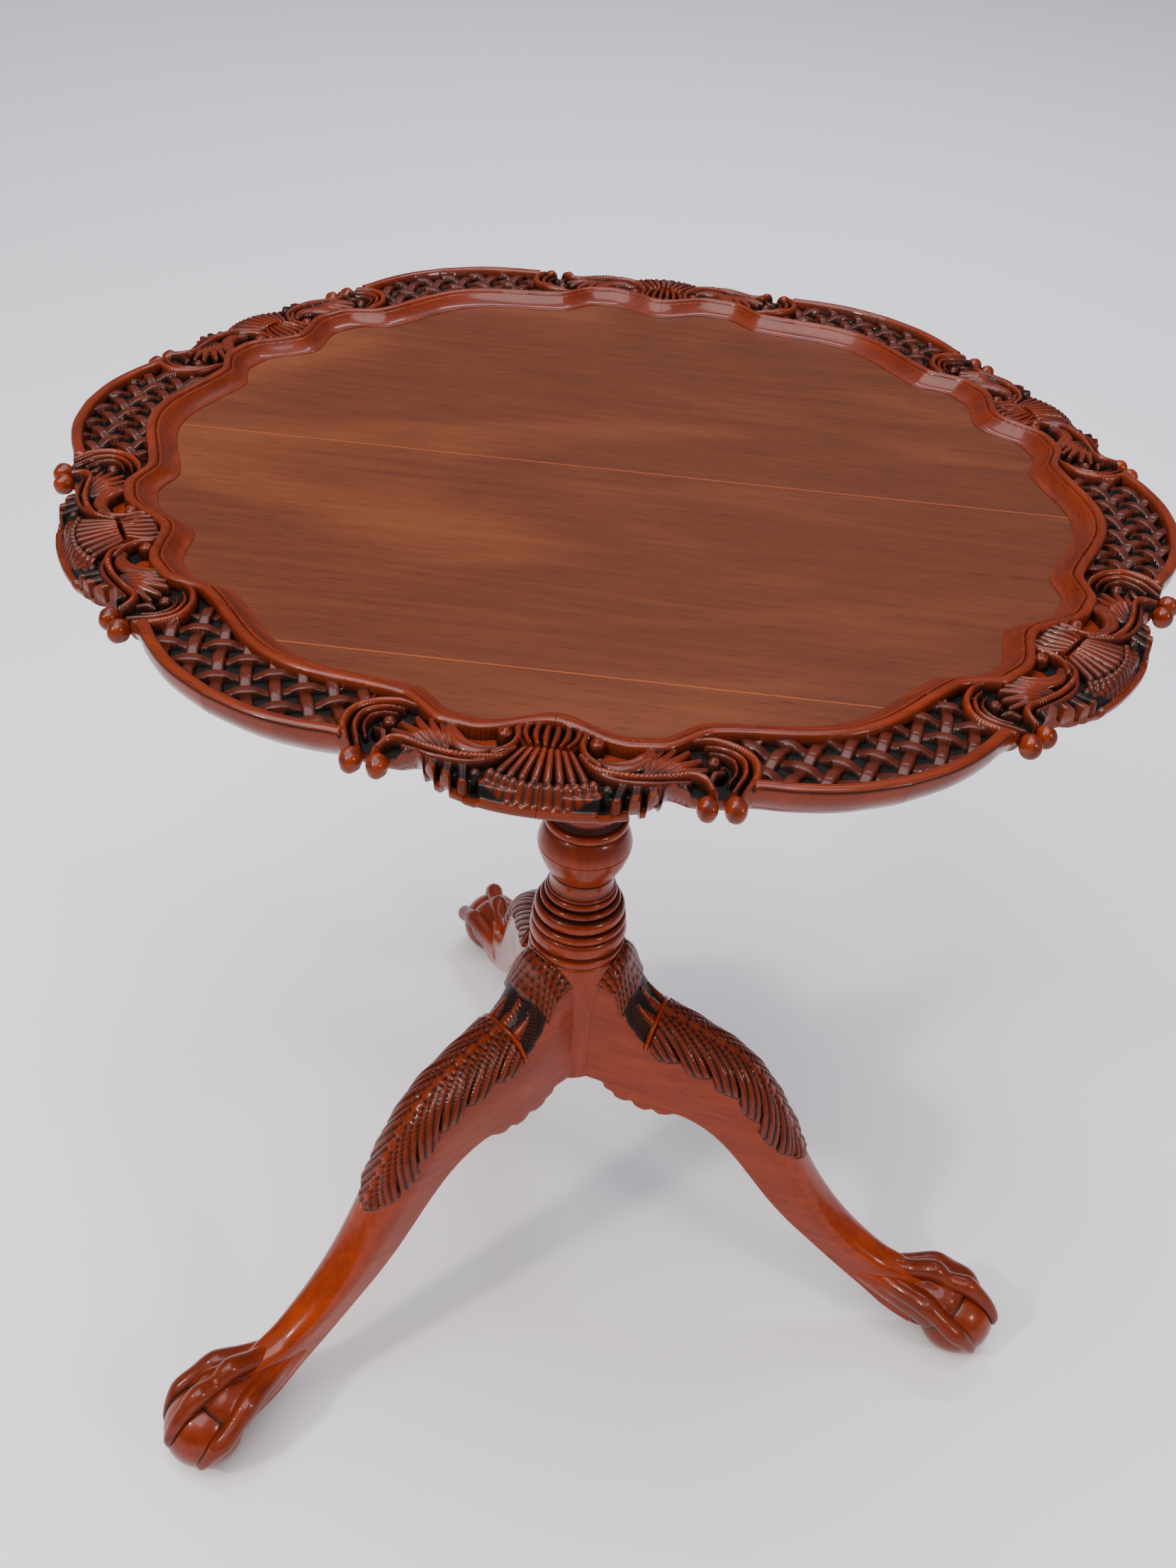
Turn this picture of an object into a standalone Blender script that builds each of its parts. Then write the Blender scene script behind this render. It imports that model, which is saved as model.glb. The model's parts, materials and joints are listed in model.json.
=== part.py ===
"""Tilt top tea table with a carved rim, on a turned pillar with three cabriole legs.

The pillar carries a birdcage that turns on its shaft. The round top tilts on two pins at the front edge
of the cage's upper plate, and a brass spring catch locks it flat. Lengths are in metres, and heights are
above the floor. Positions are measured from the pillar's axis, which an empty puts in the table's frame.
"""

import math

import bmesh
import bpy
from mathutils import Matrix, Vector

# ---------------------------------------------------------------- driving dimensions

FIT = 0.0003                      # gap between pieces that touch
PILLAR_X, PILLAR_Y = -0.02127, -0.01419   # pillar axis, with the table's box centred on the origin

LEG_AZIMUTHS = {"leg_front_left": 229.0, "leg_right": 349.0, "leg_back": 109.0}

RIM_UNIT = 0.300                  # radius of the shells' crossbars, the rim's own unit
TOP_Z = 0.7224                    # top of the rim's carving
FIELD_Z = 0.7140                  # sunk field of the top
UNDERSIDE_Z = 0.7010
GROUND_Z = 0.7160                 # floor of the carved ground
DISC_RADIUS = 0.3000              # field boards, which run under the rim
BACK_GLUE_Y, FRONT_GLUE_Y = 0.0060, -0.2237
GLUE_SKEW = math.radians(1.5)
TOP_SHIFT = (0.0030, 0.0, 0.0)    # the boards and rim sit a little off the pillar's axis

PILLAR_FOOT_Z = 0.2120
PILLAR_RADIUS = 0.0365
PILLAR_SIDES = 30
SHOULDER_Z = 0.5924
SHAFT_RADIUS = 0.0190
SHAFT_TOP_Z = 0.6500
SPIGOT_RADIUS = 0.0120
SPIGOT_TOP_Z = 0.6920

PLATE_HALF = 0.0990               # half the side of the cage's square plates
LOWER_PLATE = (0.5927, 0.6107)
UPPER_PLATE = (0.6807, 0.7007)
TILT_Y, TILT_Z = -0.0890, 0.6907
PIN_RADIUS, PIN_IN, PIN_OUT = 0.0060, 0.0866, 0.1210
COLONETTE_REACH = 0.0780

BEARER_X, BEARER_WIDTH, BEARER_DEPTH, BEARER_LENGTH = 0.1008, 0.0290, 0.0240, 0.4700
BEARER_SCREWS_Y = (-0.1800, 0.0300, 0.1800)

COLLAR = (0.6110, 0.6290)
WEDGE_THICK = 0.0080

BOLT_Z, BOLT_TIP_Y, BOLT_HEEL_Y, BOLT_END_Y = 0.6943, 0.0935, 0.1400, 0.1720
CATCH_FRONT_Y, CATCH_BACK_Y, CATCH_HALF = 0.1060, 0.1720, 0.0220
CATCH_SCREWS = [(x, y) for x in (-0.0165, 0.0165) for y in (0.1110, 0.1670)]
STRIKE_SCREW_X = 0.0120

BRACE = (0.2087, 0.2117)
BRACE_REACH, BRACE_HALF = 0.0520, 0.0070
BRACE_LEG_SCREW_R, BRACE_PILLAR_SCREW_R = 0.0450, 0.0130

# ---------------------------------------------------------------- materials


def finish(name, colour, roughness, metallic=0.0):
    """One Principled material from a linear colour."""
    material = bpy.data.materials.new(name)
    material.use_nodes = True
    shader = material.node_tree.nodes["Principled BSDF"]
    shader.inputs["Base Color"].default_value = (*colour, 1.0)
    shader.inputs["Roughness"].default_value = roughness
    shader.inputs["Metallic"].default_value = metallic
    return material


# ---------------------------------------------------------------- mesh helpers


def add_object(name, mesh, material, parent, at=(0, 0, 0)):
    """Link a mesh as an object whose place is given from the pillar axis, under a parent empty."""
    obj = bpy.data.objects.new(name, mesh)
    if material:
        mesh.materials.append(material)
    bpy.context.scene.collection.objects.link(obj)
    if parent:
        obj.parent = parent
        obj.location = Vector(at) - Vector(parent["table_place"])
    return obj


def mesh_from(name, bm, smooth_angle=40.0):
    """Close off a bmesh as a mesh with outward faces and smooth shading."""
    bmesh.ops.recalc_face_normals(bm, faces=bm.faces)
    mesh = bpy.data.meshes.new(name)
    bm.to_mesh(mesh)
    bm.free()
    mesh.shade_smooth()
    mesh.set_sharp_from_angle(angle=math.radians(smooth_angle))
    return mesh


def skin(bm, rings, closed_rings=True, caps=True):
    """Bridge equal rings of points, and cap both ends."""
    loops = [[bm.verts.new(p) for p in ring] for ring in rings]
    count = len(loops[0])
    for a, b in zip(loops, loops[1:]):
        for i in range(count if closed_rings else count - 1):
            j = (i + 1) % count
            bm.faces.new((a[i], a[j], b[j], b[i]))
    if caps:
        bm.faces.new(list(reversed(loops[0])))
        bm.faces.new(loops[-1])
    return loops


def turned(name, profile, segments, along="Z", hollow=False):
    """Turn a profile of (radius, height) points. A hollow one is a closed loop clear of the axis."""
    bm = bmesh.new()
    angles = [2 * math.pi * i / segments for i in range(segments)]
    rings = [[(r * math.cos(a), r * math.sin(a), z) for a in angles] for r, z in profile]
    if hollow:
        skin(bm, rings + rings[:1], caps=False)
        bmesh.ops.remove_doubles(bm, verts=bm.verts, dist=1e-6)
    else:
        skin(bm, rings)
    turn = {"Z": Matrix(), "X": Matrix.Rotation(math.pi / 2, 4, "Y"), "Y": Matrix.Rotation(-math.pi / 2, 4, "X")}
    bmesh.ops.transform(bm, matrix=turn[along], verts=bm.verts)
    return mesh_from(name, bm)


def block(name, low, high, chamfer=0.0):
    """A box between two corners, with its edges chamfered."""
    bm = bmesh.new()
    bmesh.ops.create_cube(bm, size=1.0)
    size = [b - a for a, b in zip(low, high)]
    middle = [(a + b) / 2 for a, b in zip(low, high)]
    bmesh.ops.transform(bm, matrix=Matrix.Translation(middle) @ Matrix.Diagonal((*size, 1.0)), verts=bm.verts)
    if chamfer:
        bmesh.ops.bevel(bm, geom=list(bm.edges), offset=chamfer, segments=1, affect="EDGES")
    return mesh_from(name, bm, 30.0)


def prism(name, outline, low, high):
    """Extrude an outline of (x, y) points from one height to another."""
    bm = bmesh.new()
    skin(bm, [[(x, y, z) for x, y in outline] for z in (low, high)])
    return mesh_from(name, bm, 30.0)


def cutter(name, mesh, parent, at=(0, 0, 0)):
    """A shape that only cuts: hidden in renders, drawn as wire."""
    obj = add_object(name, mesh, None, parent, at)
    obj.hide_render = True
    obj.display_type = "WIRE"
    return obj


def combine(obj, tool, operation="DIFFERENCE"):
    """Cut or join with the EXACT solver."""
    modifier = obj.modifiers.new(tool.name, "BOOLEAN")
    modifier.operation = operation
    modifier.solver = "EXACT"
    modifier.object = tool


def drill(obj, name, radius, depth, parent, at, along="Z", segments=16):
    """Cut a round hole that starts at a place and runs the given depth along an axis."""
    span = [(radius, depth), (radius, 0.0)] if depth > 0 else [(radius, 0.0), (radius, depth)]
    combine(obj, cutter(name, turned(name, span, segments, along), parent, at))


def screw(name, material, parent, at, head, shank, length, up=True, along="Z"):
    """A dome headed wood screw whose head's seat is at the given place."""
    s = 1.0 if up else -1.0
    dome = 0.55 * head
    profile = [(0.35 * head, -s * dome), (0.85 * head, -s * 0.6 * dome), (head, 0.0), (shank, 0.0),
               (shank, s * 0.75 * length), (0.25 * shank, s * length)]
    if up:
        profile.reverse()
    return add_object(name, turned(name, profile, 10, along), material, parent, at)


# ---------------------------------------------------------------- pillar, collar and wedge


def pillar_profile():
    """Turned profile of the pillar, top to bottom, as (radius, height)."""
    ring = [(0.0330, 0.3610), (0.0340, 0.3550), (0.0335, 0.3510), (0.0350, 0.3490), (0.0356, 0.3440),
            (0.0352, 0.3390), (0.0338, 0.3355), (0.0355, 0.3330), (0.0357, 0.3285), (0.0349, 0.3270)]
    return [
        (0.6 * SPIGOT_RADIUS, SPIGOT_TOP_Z), (SPIGOT_RADIUS, SPIGOT_TOP_Z - 0.003),
        (SPIGOT_RADIUS, SHAFT_TOP_Z), (SHAFT_RADIUS, SHAFT_TOP_Z), (SHAFT_RADIUS, SHOULDER_Z),
        (0.0300, SHOULDER_Z), (0.0318, 0.5880), (0.0300, 0.5835), (0.0262, 0.5820), (0.0225, 0.5745),
        (0.0222, 0.5680), (0.0250, 0.5650), (0.0250, 0.5610), (0.0205, 0.5590), (0.0180, 0.5450),
        (0.0178, 0.5200), (0.0192, 0.4950), (0.0222, 0.4750), (0.0250, 0.4660), (0.0250, 0.4610),
        (0.0232, 0.4590), (0.0232, 0.4540), (0.0262, 0.4510), (0.0262, 0.4490), (0.0290, 0.4475),
        (0.0303, 0.4445), (0.0290, 0.4415), (0.0292, 0.4405), (0.0325, 0.4330), (0.0344, 0.4255),
        (0.0340, 0.4235), (0.0333, 0.4225), (0.0326, 0.4170), (0.0300, 0.4080), (0.0250, 0.3990),
        (0.0232, 0.3960), (0.0226, 0.3890), (0.0240, 0.3835), (0.0256, 0.3815), (0.0262, 0.3775),
        (0.0258, 0.3740), (0.0285, 0.3715), (0.0294, 0.3690), (0.0305, 0.3670), *ring,
        (PILLAR_RADIUS - 0.0008, 0.3250), (PILLAR_RADIUS, 0.3000), (PILLAR_RADIUS, PILLAR_FOOT_Z),
    ]


def key_outline(grow=0.0):
    """Plan of a leg's dovetail key, wider inside the pillar, running out along +X."""
    inner, neck = 0.0200 - grow, 0.0460
    return [(inner, -0.0080 - grow), (neck, -0.0050 - grow), (neck, 0.0050 + grow), (inner, 0.0080 + grow)]


def make_pillar(wood, base):
    """Pillar with its dovetail slots and the slot for the wedge."""
    pillar = add_object("pillar", turned("pillar", pillar_profile(), PILLAR_SIDES), wood, base)
    for name, azimuth in LEG_AZIMUTHS.items():
        slot = cutter(f"slot_{name}", prism(name, key_outline(FIT), PILLAR_FOOT_Z - 0.01, 0.3103), base)
        slot.rotation_euler.z = math.radians(azimuth)
        combine(pillar, slot)
        place = polar(BRACE_PILLAR_SCREW_R, azimuth + 60.0)
        drill(pillar, f"pilot_{name}", 0.0020, 0.0190, base, (*place, PILLAR_FOOT_Z - 0.003))
    gap = WEDGE_THICK / 2 + FIT
    low, high = COLLAR[1] + FIT, COLLAR[1] + 0.0130
    combine(pillar, cutter("wedge_slot", block("wedge_slot", (-0.05, -gap, low), (0.05, gap, high)), base))
    return pillar


def make_collar_and_wedge(wood, base):
    """The ring on the lower plate, and the tapered wedge through the shaft that holds the cage down."""
    hole = SHAFT_RADIUS + FIT
    low, high = COLLAR
    profile = [(hole, low + FIT), (hole, high), (0.0270, high), (0.0310, high - 0.004), (0.0310, low + 0.004),
               (0.0285, low + FIT)]
    add_object("cage_collar", turned("cage_collar", profile, 32, hollow=True), wood, base)
    low_z, half = high + 2 * FIT, WEDGE_THICK / 2
    bm = bmesh.new()
    ends = [(-0.0380, 0.0085), (0.0440, 0.0120)]
    skin(bm, [[(x, -half, low_z), (x, half, low_z), (x, half, low_z + h), (x, -half, low_z + h)] for x, h in ends])
    add_object("cage_wedge", mesh_from("cage_wedge", bm), wood, base)


def polar(radius, azimuth):
    """Plan point at a radius and an azimuth in degrees."""
    return radius * math.cos(math.radians(azimuth)), radius * math.sin(math.radians(azimuth))


# ---------------------------------------------------------------- legs

# (lower radius, lower height, upper radius, upper height, half width, squareness)
SCALLOP_LOW = [(0.024, 0.2125), (0.034, 0.2110), (0.038, 0.2060), (0.046, 0.2035), (0.049, 0.1990),
               (0.062, 0.2000), (0.066, 0.1950), (0.079, 0.1962), (0.084, 0.1925), (0.094, 0.1965)]
SCALLOP_HIGH = [(0.024, 0.3220), (0.036, 0.3210), (0.044, 0.3180), (0.048, 0.3080), (0.054, 0.2920),
                (0.062, 0.2830), (0.072, 0.2780), (0.082, 0.2740), (0.094, 0.2700), (0.104, 0.2665)]
LEG_STATIONS = [
    (0.108, 0.1940, 0.120, 0.2610, 0.0262, 6.0), (0.122, 0.1880, 0.136, 0.2540, 0.0252, 6.0),
    (0.136, 0.1770, 0.152, 0.2420, 0.0240, 6.0), (0.150, 0.1620, 0.168, 0.2230, 0.0228, 6.0),
    (0.165, 0.1430, 0.184, 0.1970, 0.0214, 6.0), (0.180, 0.1240, 0.200, 0.1670, 0.0200, 5.5),
    (0.197, 0.1060, 0.215, 0.1420, 0.0184, 5.0), (0.215, 0.0900, 0.232, 0.1200, 0.0168, 4.5),
    (0.235, 0.0730, 0.251, 0.1010, 0.0154, 4.0), (0.255, 0.0565, 0.270, 0.0870, 0.0144, 3.6),
    (0.272, 0.0435, 0.285, 0.0800, 0.0142, 3.2), (0.286, 0.0310, 0.299, 0.0790, 0.0160, 2.8),
    (0.300, 0.0190, 0.311, 0.0850, 0.0205, 2.5), (0.312, 0.0090, 0.323, 0.0940, 0.0250, 2.3),
    (0.325, 0.0025, 0.335, 0.0955, 0.0280, 2.2), (0.338, 0.0000, 0.345, 0.0930, 0.0295, 2.2),
    (0.352, 0.0000, 0.356, 0.0870, 0.0290, 2.2), (0.364, 0.0040, 0.366, 0.0770, 0.0262, 2.2),
    (0.374, 0.0120, 0.374, 0.0660, 0.0205, 2.2), (0.3795, 0.0230, 0.3790, 0.0520, 0.0120, 2.2),
]
SECTION_ANGLES = [math.radians(15 + 30 * i) for i in range(12)]


def leg_section(low, high, half, square):
    """Ring of points across the leg from its lower edge to its upper edge."""
    low, high = Vector((low[0], 0.0, low[1])), Vector((high[0], 0.0, high[1]))
    centre, up = (low + high) / 2, (high - low) / 2
    power = 2.0 / square
    reach = math.cos(math.radians(15)) ** power
    ring = []
    for a in SECTION_ANGLES:
        side = math.copysign(abs(math.cos(a)) ** power, math.cos(a)) / reach
        rise = math.copysign(abs(math.sin(a)) ** power, math.sin(a)) / reach
        ring.append(centre + up * rise + Vector((0.0, half * side, 0.0)))
    return ring


def leg_stations():
    """All stations of a leg, with the scallops of its lower edge first."""
    near = [(*low, *high, 0.0278, 7.0) for low, high in zip(SCALLOP_LOW, SCALLOP_HIGH)]
    return near + LEG_STATIONS


def make_leg(name, azimuth, wood, base):
    """A cabriole leg with its dovetail key, cut to the pillar's round and let in for the brace."""
    bm = bmesh.new()
    skin(bm, [leg_section((a, b), (c, d), half, square) for a, b, c, d, half, square in leg_stations()])
    leg = add_object(name, mesh_from(name, bm, 35.0), wood, base)
    leg.rotation_euler.z = math.radians(azimuth)
    round_of_pillar = [(PILLAR_RADIUS + FIT, 0.40), (PILLAR_RADIUS + FIT, 0.15)]
    tools = [
        (cutter(f"round_{name}", turned(name, round_of_pillar, PILLAR_SIDES), base), "DIFFERENCE", False),
        (cutter(f"key_{name}", prism(name, key_outline(), PILLAR_FOOT_Z + 0.002, 0.3100), base), "UNION", True),
        (cutter(f"recess_{name}", block(name, (0.0, -BRACE_HALF - FIT, 0.18),
                                        (BRACE_REACH + FIT, BRACE_HALF + FIT, BRACE[1] + FIT)), base),
         "DIFFERENCE", True),
    ]
    for tool, operation, turn in tools:
        if turn:
            tool.rotation_euler.z = math.radians(azimuth)
        combine(leg, tool, operation)
    drill(leg, f"pilot_leg_{name}", 0.0020, 0.0190, base, (*polar(BRACE_LEG_SCREW_R, azimuth), BRACE[1] - 0.001))


def make_brace(iron, base):
    """Three armed iron plate under the pillar and legs, with its screws."""
    outline = []
    for azimuth in sorted(LEG_AZIMUTHS.values()):
        a = math.radians(azimuth)
        along, across = Vector((math.cos(a), math.sin(a))), Vector((-math.sin(a), math.cos(a)))
        outline += [along * 0.0200 - across * BRACE_HALF, along * BRACE_REACH - across * BRACE_HALF,
                    along * BRACE_REACH + across * BRACE_HALF, along * 0.0200 + across * BRACE_HALF,
                    Vector(polar(0.0200, azimuth + 60.0))]
    brace = add_object("brace_plate", prism("brace_plate", outline, *BRACE), iron, base)
    for i, azimuth in enumerate(LEG_AZIMUTHS.values(), 1):
        for kind, radius, turn in (("leg", BRACE_LEG_SCREW_R, 0.0), ("pillar", BRACE_PILLAR_SCREW_R, 60.0)):
            place = polar(radius, azimuth + turn)
            drill(brace, f"brace_hole_{kind}_{i}", 0.0020, 0.01, base, (*place, BRACE[0] - 0.003))
            screw(f"brace_screw_{kind}_{i}", iron, base, (*place, BRACE[0] - FIT), 0.0036, 0.0016, 0.0180)


# ---------------------------------------------------------------- birdcage


def colonette_profile():
    """Small turned baluster between the plates, top to bottom, with a tenon at each end."""
    low, high = LOWER_PLATE[1] + FIT, UPPER_PLATE[0] - FIT
    upper = [(0.0060, 0.0), (0.0066, -0.0015), (0.0066, -0.0080)]
    body = [(0.0105, 0.0), (0.0118, 0.0030), (0.0105, 0.0058), (0.0068, 0.0085), (0.0064, 0.0150),
            (0.0092, 0.0270), (0.0124, 0.0400), (0.0120, 0.0500), (0.0075, 0.0580), (0.0082, 0.0610),
            (0.0122, 0.0640), (0.0122, 0.0675)]
    return ([(r, high + 0.0080 + z) for r, z in upper] + [(r, high - z) for r, z in body]
            + [(0.0105, low), (0.0066, low), (0.0066, low - 0.0065), (0.0060, low - 0.0080)])


def upper_plate_mesh():
    """Upper plate, its front top edge rounded about the tilt axis."""
    low, high = UPPER_PLATE
    radius = PLATE_HALF + TILT_Y
    arc = [(TILT_Y - radius * math.sin(a), TILT_Z + radius * math.cos(a))
           for a in (math.radians(d) for d in range(0, 91, 15))]
    outline = [(PLATE_HALF, low), (PLATE_HALF, high), *arc, (-PLATE_HALF, low)]
    bm = bmesh.new()
    skin(bm, [[(x, y, z) for y, z in outline] for x in (-PLATE_HALF, PLATE_HALF)])
    return mesh_from("cage_upper_plate", bm, 30.0)


def make_cage(wood, dark, brass, cage):
    """Two plates on four colonettes, the pivot pins and the strike."""
    low, high = LOWER_PLATE
    corners = ((-PLATE_HALF, -PLATE_HALF, low), (PLATE_HALF, PLATE_HALF, high))
    lower = add_object("cage_lower_plate", block("cage_lower_plate", *corners, 0.002), wood, cage)
    upper = add_object("cage_upper_plate", upper_plate_mesh(), wood, cage)
    drill(lower, "shaft_hole", SHAFT_RADIUS + 0.0005, 0.04, cage, (0, 0, low - 0.01), segments=32)
    drill(upper, "spigot_hole", SPIGOT_RADIUS + 0.0005, 0.0230, cage, (0, 0, UPPER_PLATE[0] - 0.01), segments=24)
    profile = colonette_profile()
    sides = {"front_left": (-1, -1), "front_right": (1, -1), "back_left": (-1, 1), "back_right": (1, 1)}
    for label, (sx, sy) in sides.items():
        x, y = sx * COLONETTE_REACH, sy * COLONETTE_REACH
        name = f"colonette_{label}"
        add_object(name, turned(name, profile, 12), wood, cage, (x, y, 0))
        drill(lower, f"lower_tenon_{label}", 0.0069, 0.0120, cage, (x, y, high - 0.0083), segments=14)
        drill(upper, f"upper_tenon_{label}", 0.0069, 0.0120, cage, (x, y, UPPER_PLATE[0] - 0.0037), segments=14)
    for label, side in (("left", -1), ("right", 1)):
        span = [(PIN_RADIUS, side * PIN_OUT), (PIN_RADIUS, side * PIN_IN)]
        if side < 0:
            span.reverse()
        pin = f"pivot_pin_{label}"
        add_object(pin, turned(pin, span, 20, "X"), dark, cage, (0, TILT_Y, TILT_Z))
        start = side * (PIN_IN - FIT)
        drill(upper, f"pin_hole_{label}", PIN_RADIUS + FIT, side * 0.03, cage, (start, TILT_Y, TILT_Z), "X", 20)
    mortise = block("mortise", (-0.0056, 0.0910, BOLT_Z - 0.0031), (0.0056, PLATE_HALF + 0.01, BOLT_Z + 0.0031))
    combine(upper, cutter("mortise", mortise, cage))
    face = PLATE_HALF + FIT
    strike = add_object("strike_plate", block("strike_plate", (-0.0170, face, BOLT_Z - 0.0065),
                                              (0.0170, face + 0.0012, BOLT_Z + 0.0050)), brass, cage)
    combine(strike, cutter("strike_mouth", block("strike_mouth", (-0.0056, 0.09, BOLT_Z - 0.0031),
                                                 (0.0056, 0.11, BOLT_Z + 0.0031)), cage))
    for label, x in (("left", -STRIKE_SCREW_X), ("right", STRIKE_SCREW_X)):
        seat = (x, face + 0.0012 + FIT, BOLT_Z)
        screw(f"strike_screw_{label}", brass, cage, seat, 0.0022, 0.0009, 0.0090, up=False, along="Y")
        drill(strike, f"strike_hole_{label}", 0.0012, -0.02, cage, (x, 0.11, BOLT_Z), "Y", 12)
        drill(upper, f"strike_pilot_{label}", 0.0012, -0.02, cage, (x, 0.11, BOLT_Z), "Y", 12)


# ---------------------------------------------------------------- top


def strip_outline(y_low, y_high):
    """Part of the disc between two skewed glue lines, as a polygon of plan points."""
    def height(x, y):
        return y - x * math.tan(GLUE_SKEW)

    def crossing(a, b, level):
        ha, hb = height(*a), height(*b)
        t = (level - ha) / (hb - ha)
        return a[0] + t * (b[0] - a[0]), a[1] + t * (b[1] - a[1])

    points = [polar(DISC_RADIUS, 4.0 * i) for i in range(90)]
    outline = []
    for a, b in zip(points, points[1:] + points[:1]):
        if y_low <= height(*a) <= y_high:
            outline.append(a)
        crossed = [level for level in (y_low, y_high) if (height(*a) - level) * (height(*b) - level) < 0]
        outline += [crossing(a, b, level) for level in crossed]
    return outline


def make_boards(wood, top):
    """Three glued boards, with blind pilot holes for the bearer and catch screws."""
    edges = {"board_front": (-1.0, FRONT_GLUE_Y), "board_middle": (FRONT_GLUE_Y, BACK_GLUE_Y),
             "board_back": (BACK_GLUE_Y, 1.0)}
    boards = {}
    for name, (low, high) in edges.items():
        outline = strip_outline(low + FIT / 2, high - FIT / 2)
        boards[name] = add_object(name, prism(name, outline, UNDERSIDE_Z, FIELD_Z), wood, top, TOP_SHIFT)
    for side in (-1, 1):
        for i, y in enumerate(BEARER_SCREWS_Y):
            owner = boards["board_back" if y > BACK_GLUE_Y else "board_middle"]
            place = (side * (BEARER_X + BEARER_WIDTH / 2), y, UNDERSIDE_Z - 0.01)
            drill(owner, f"board_pilot_{side}_{i}", 0.0023, 0.0205, top, place, segments=12)
    for i, (x, y) in enumerate(CATCH_SCREWS):
        drill(boards["board_back"], f"catch_pilot_{i}", 0.0016, 0.0190, top, (x, y, UNDERSIDE_Z - 0.01), segments=12)


def bead_radius(degrees):
    """Moulding bead's radius, in rim units, at an angle from the nearest shell's centre."""
    t = abs(degrees)
    if t < 7.0:
        return 0.918 + 0.050 * (0.5 - 0.5 * math.cos(math.pi * t / 7.0))
    if t < 10.5:
        return 0.968
    if t < 15.5:
        return 0.928 + 0.040 * (0.5 + 0.5 * math.cos(math.pi * (t - 10.5) / 5.0))
    return 0.928 + 0.040 * (0.5 - 0.5 * math.cos(math.pi * (t - 15.5) / 14.5))


def edge_radius(degrees):
    """Outer edge of the rim, in rim units, at an angle from the nearest shell's centre."""
    marks = [(0.0, 1.114), (3.0, 1.111), (7.0, 1.096), (9.0, 1.086), (10.5, 1.050), (12.5, 1.090),
             (15.5, 1.100), (17.2, 1.082), (21.0, 1.100), (25.5, 1.111), (30.0, 1.117)]
    t = abs(degrees)
    for (a, ra), (b, rb) in zip(marks, marks[1:]):
        if t <= b:
            return ra + (rb - ra) * (t - a) / (b - a)
    return marks[-1][1]


def rim_section(degrees):
    """Cross section of the rim at an angle from a shell's centre, as (radius, height) points."""
    near = degrees if degrees <= 30.0 else 60.0 - degrees
    bead, edge = bead_radius(near) * RIM_UNIT, edge_radius(near) * RIM_UNIT
    foot = bead - 0.0155
    step = DISC_RADIUS + FIT
    return [
        (step, FIELD_Z + FIT), (foot, FIELD_Z + FIT), (foot + 0.0060, FIELD_Z + 0.0022),
        (foot + 0.0115, TOP_Z - 0.0030), (bead - 0.0018, TOP_Z - 0.0008), (bead + 0.0018, TOP_Z - 0.0008),
        (bead + 0.0034, GROUND_Z), (edge - 0.0068, GROUND_Z), (edge - 0.0056, TOP_Z), (edge - 0.0016, TOP_Z),
        (edge, TOP_Z - 0.0030), (edge - 0.0006, TOP_Z - 0.0135), (edge - 0.0050, TOP_Z - 0.0170),
        (max(edge - 0.0130, step + 0.0010), UNDERSIDE_Z), (step, UNDERSIDE_Z),
    ]


def make_rim(wood, top):
    """Six carved segments, butted at the centres of the shells."""
    inset = math.degrees(FIT / 2 / RIM_UNIT) * 1.2
    angles = [inset, 3, 5, 7, 9, 10.5, 12.5, 15.5, 17.2, 21, 25.5, 30]
    angles += [60 - a for a in reversed(angles[:-1])]
    rings = []
    for degrees in angles:
        c, s = math.cos(math.radians(degrees)), math.sin(math.radians(degrees))
        rings.append([(r * c, r * s, z) for r, z in rim_section(degrees)])
    for i in range(6):
        bm = bmesh.new()
        skin(bm, rings)
        name = f"rim_segment_{i + 1}"
        segment = add_object(name, mesh_from(name, bm, 35.0), wood, top, TOP_SHIFT)
        segment.rotation_euler.z = math.radians(30.0 + 60.0 * i)


def make_bearers(wood, iron, top):
    """Two bearers with bevelled ends, bored for the pivot pins and screwed to the boards."""
    half, high = BEARER_LENGTH / 2, UPPER_PLATE[1]
    low = high - BEARER_DEPTH
    outline = [(-half, high), (-half, high - 0.010), (-half + 0.035, low), (half - 0.035, low),
               (half, high - 0.010), (half, high)]
    for label, side in (("left", -1), ("right", 1)):
        inner, outer = side * BEARER_X, side * (BEARER_X + BEARER_WIDTH)
        bm = bmesh.new()
        skin(bm, [[(x, y, z) for y, z in outline] for x in (inner, outer)])
        bearer = add_object(f"bearer_{label}", mesh_from(f"bearer_{label}", bm, 30.0), wood, top)
        start = (inner - side * 0.005, TILT_Y, TILT_Z)
        drill(bearer, f"bearer_pin_hole_{label}", PIN_RADIUS + FIT, side * 0.0260, top, start, "X", 20)
        for i, y in enumerate(BEARER_SCREWS_Y, 1):
            x = side * (BEARER_X + BEARER_WIDTH / 2)
            seat = low + 0.0060
            drill(bearer, f"counterbore_{label}_{i}", 0.0046, 0.0160, top, (x, y, seat - 0.0160), segments=12)
            drill(bearer, f"clearance_{label}_{i}", 0.0025, 0.0400, top, (x, y, seat - 0.0100), segments=12)
            screw(f"bearer_screw_{label}_{i}", iron, top, (x, y, seat - FIT), 0.0042, 0.0020, 0.0260)


# ---------------------------------------------------------------- spring catch


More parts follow.
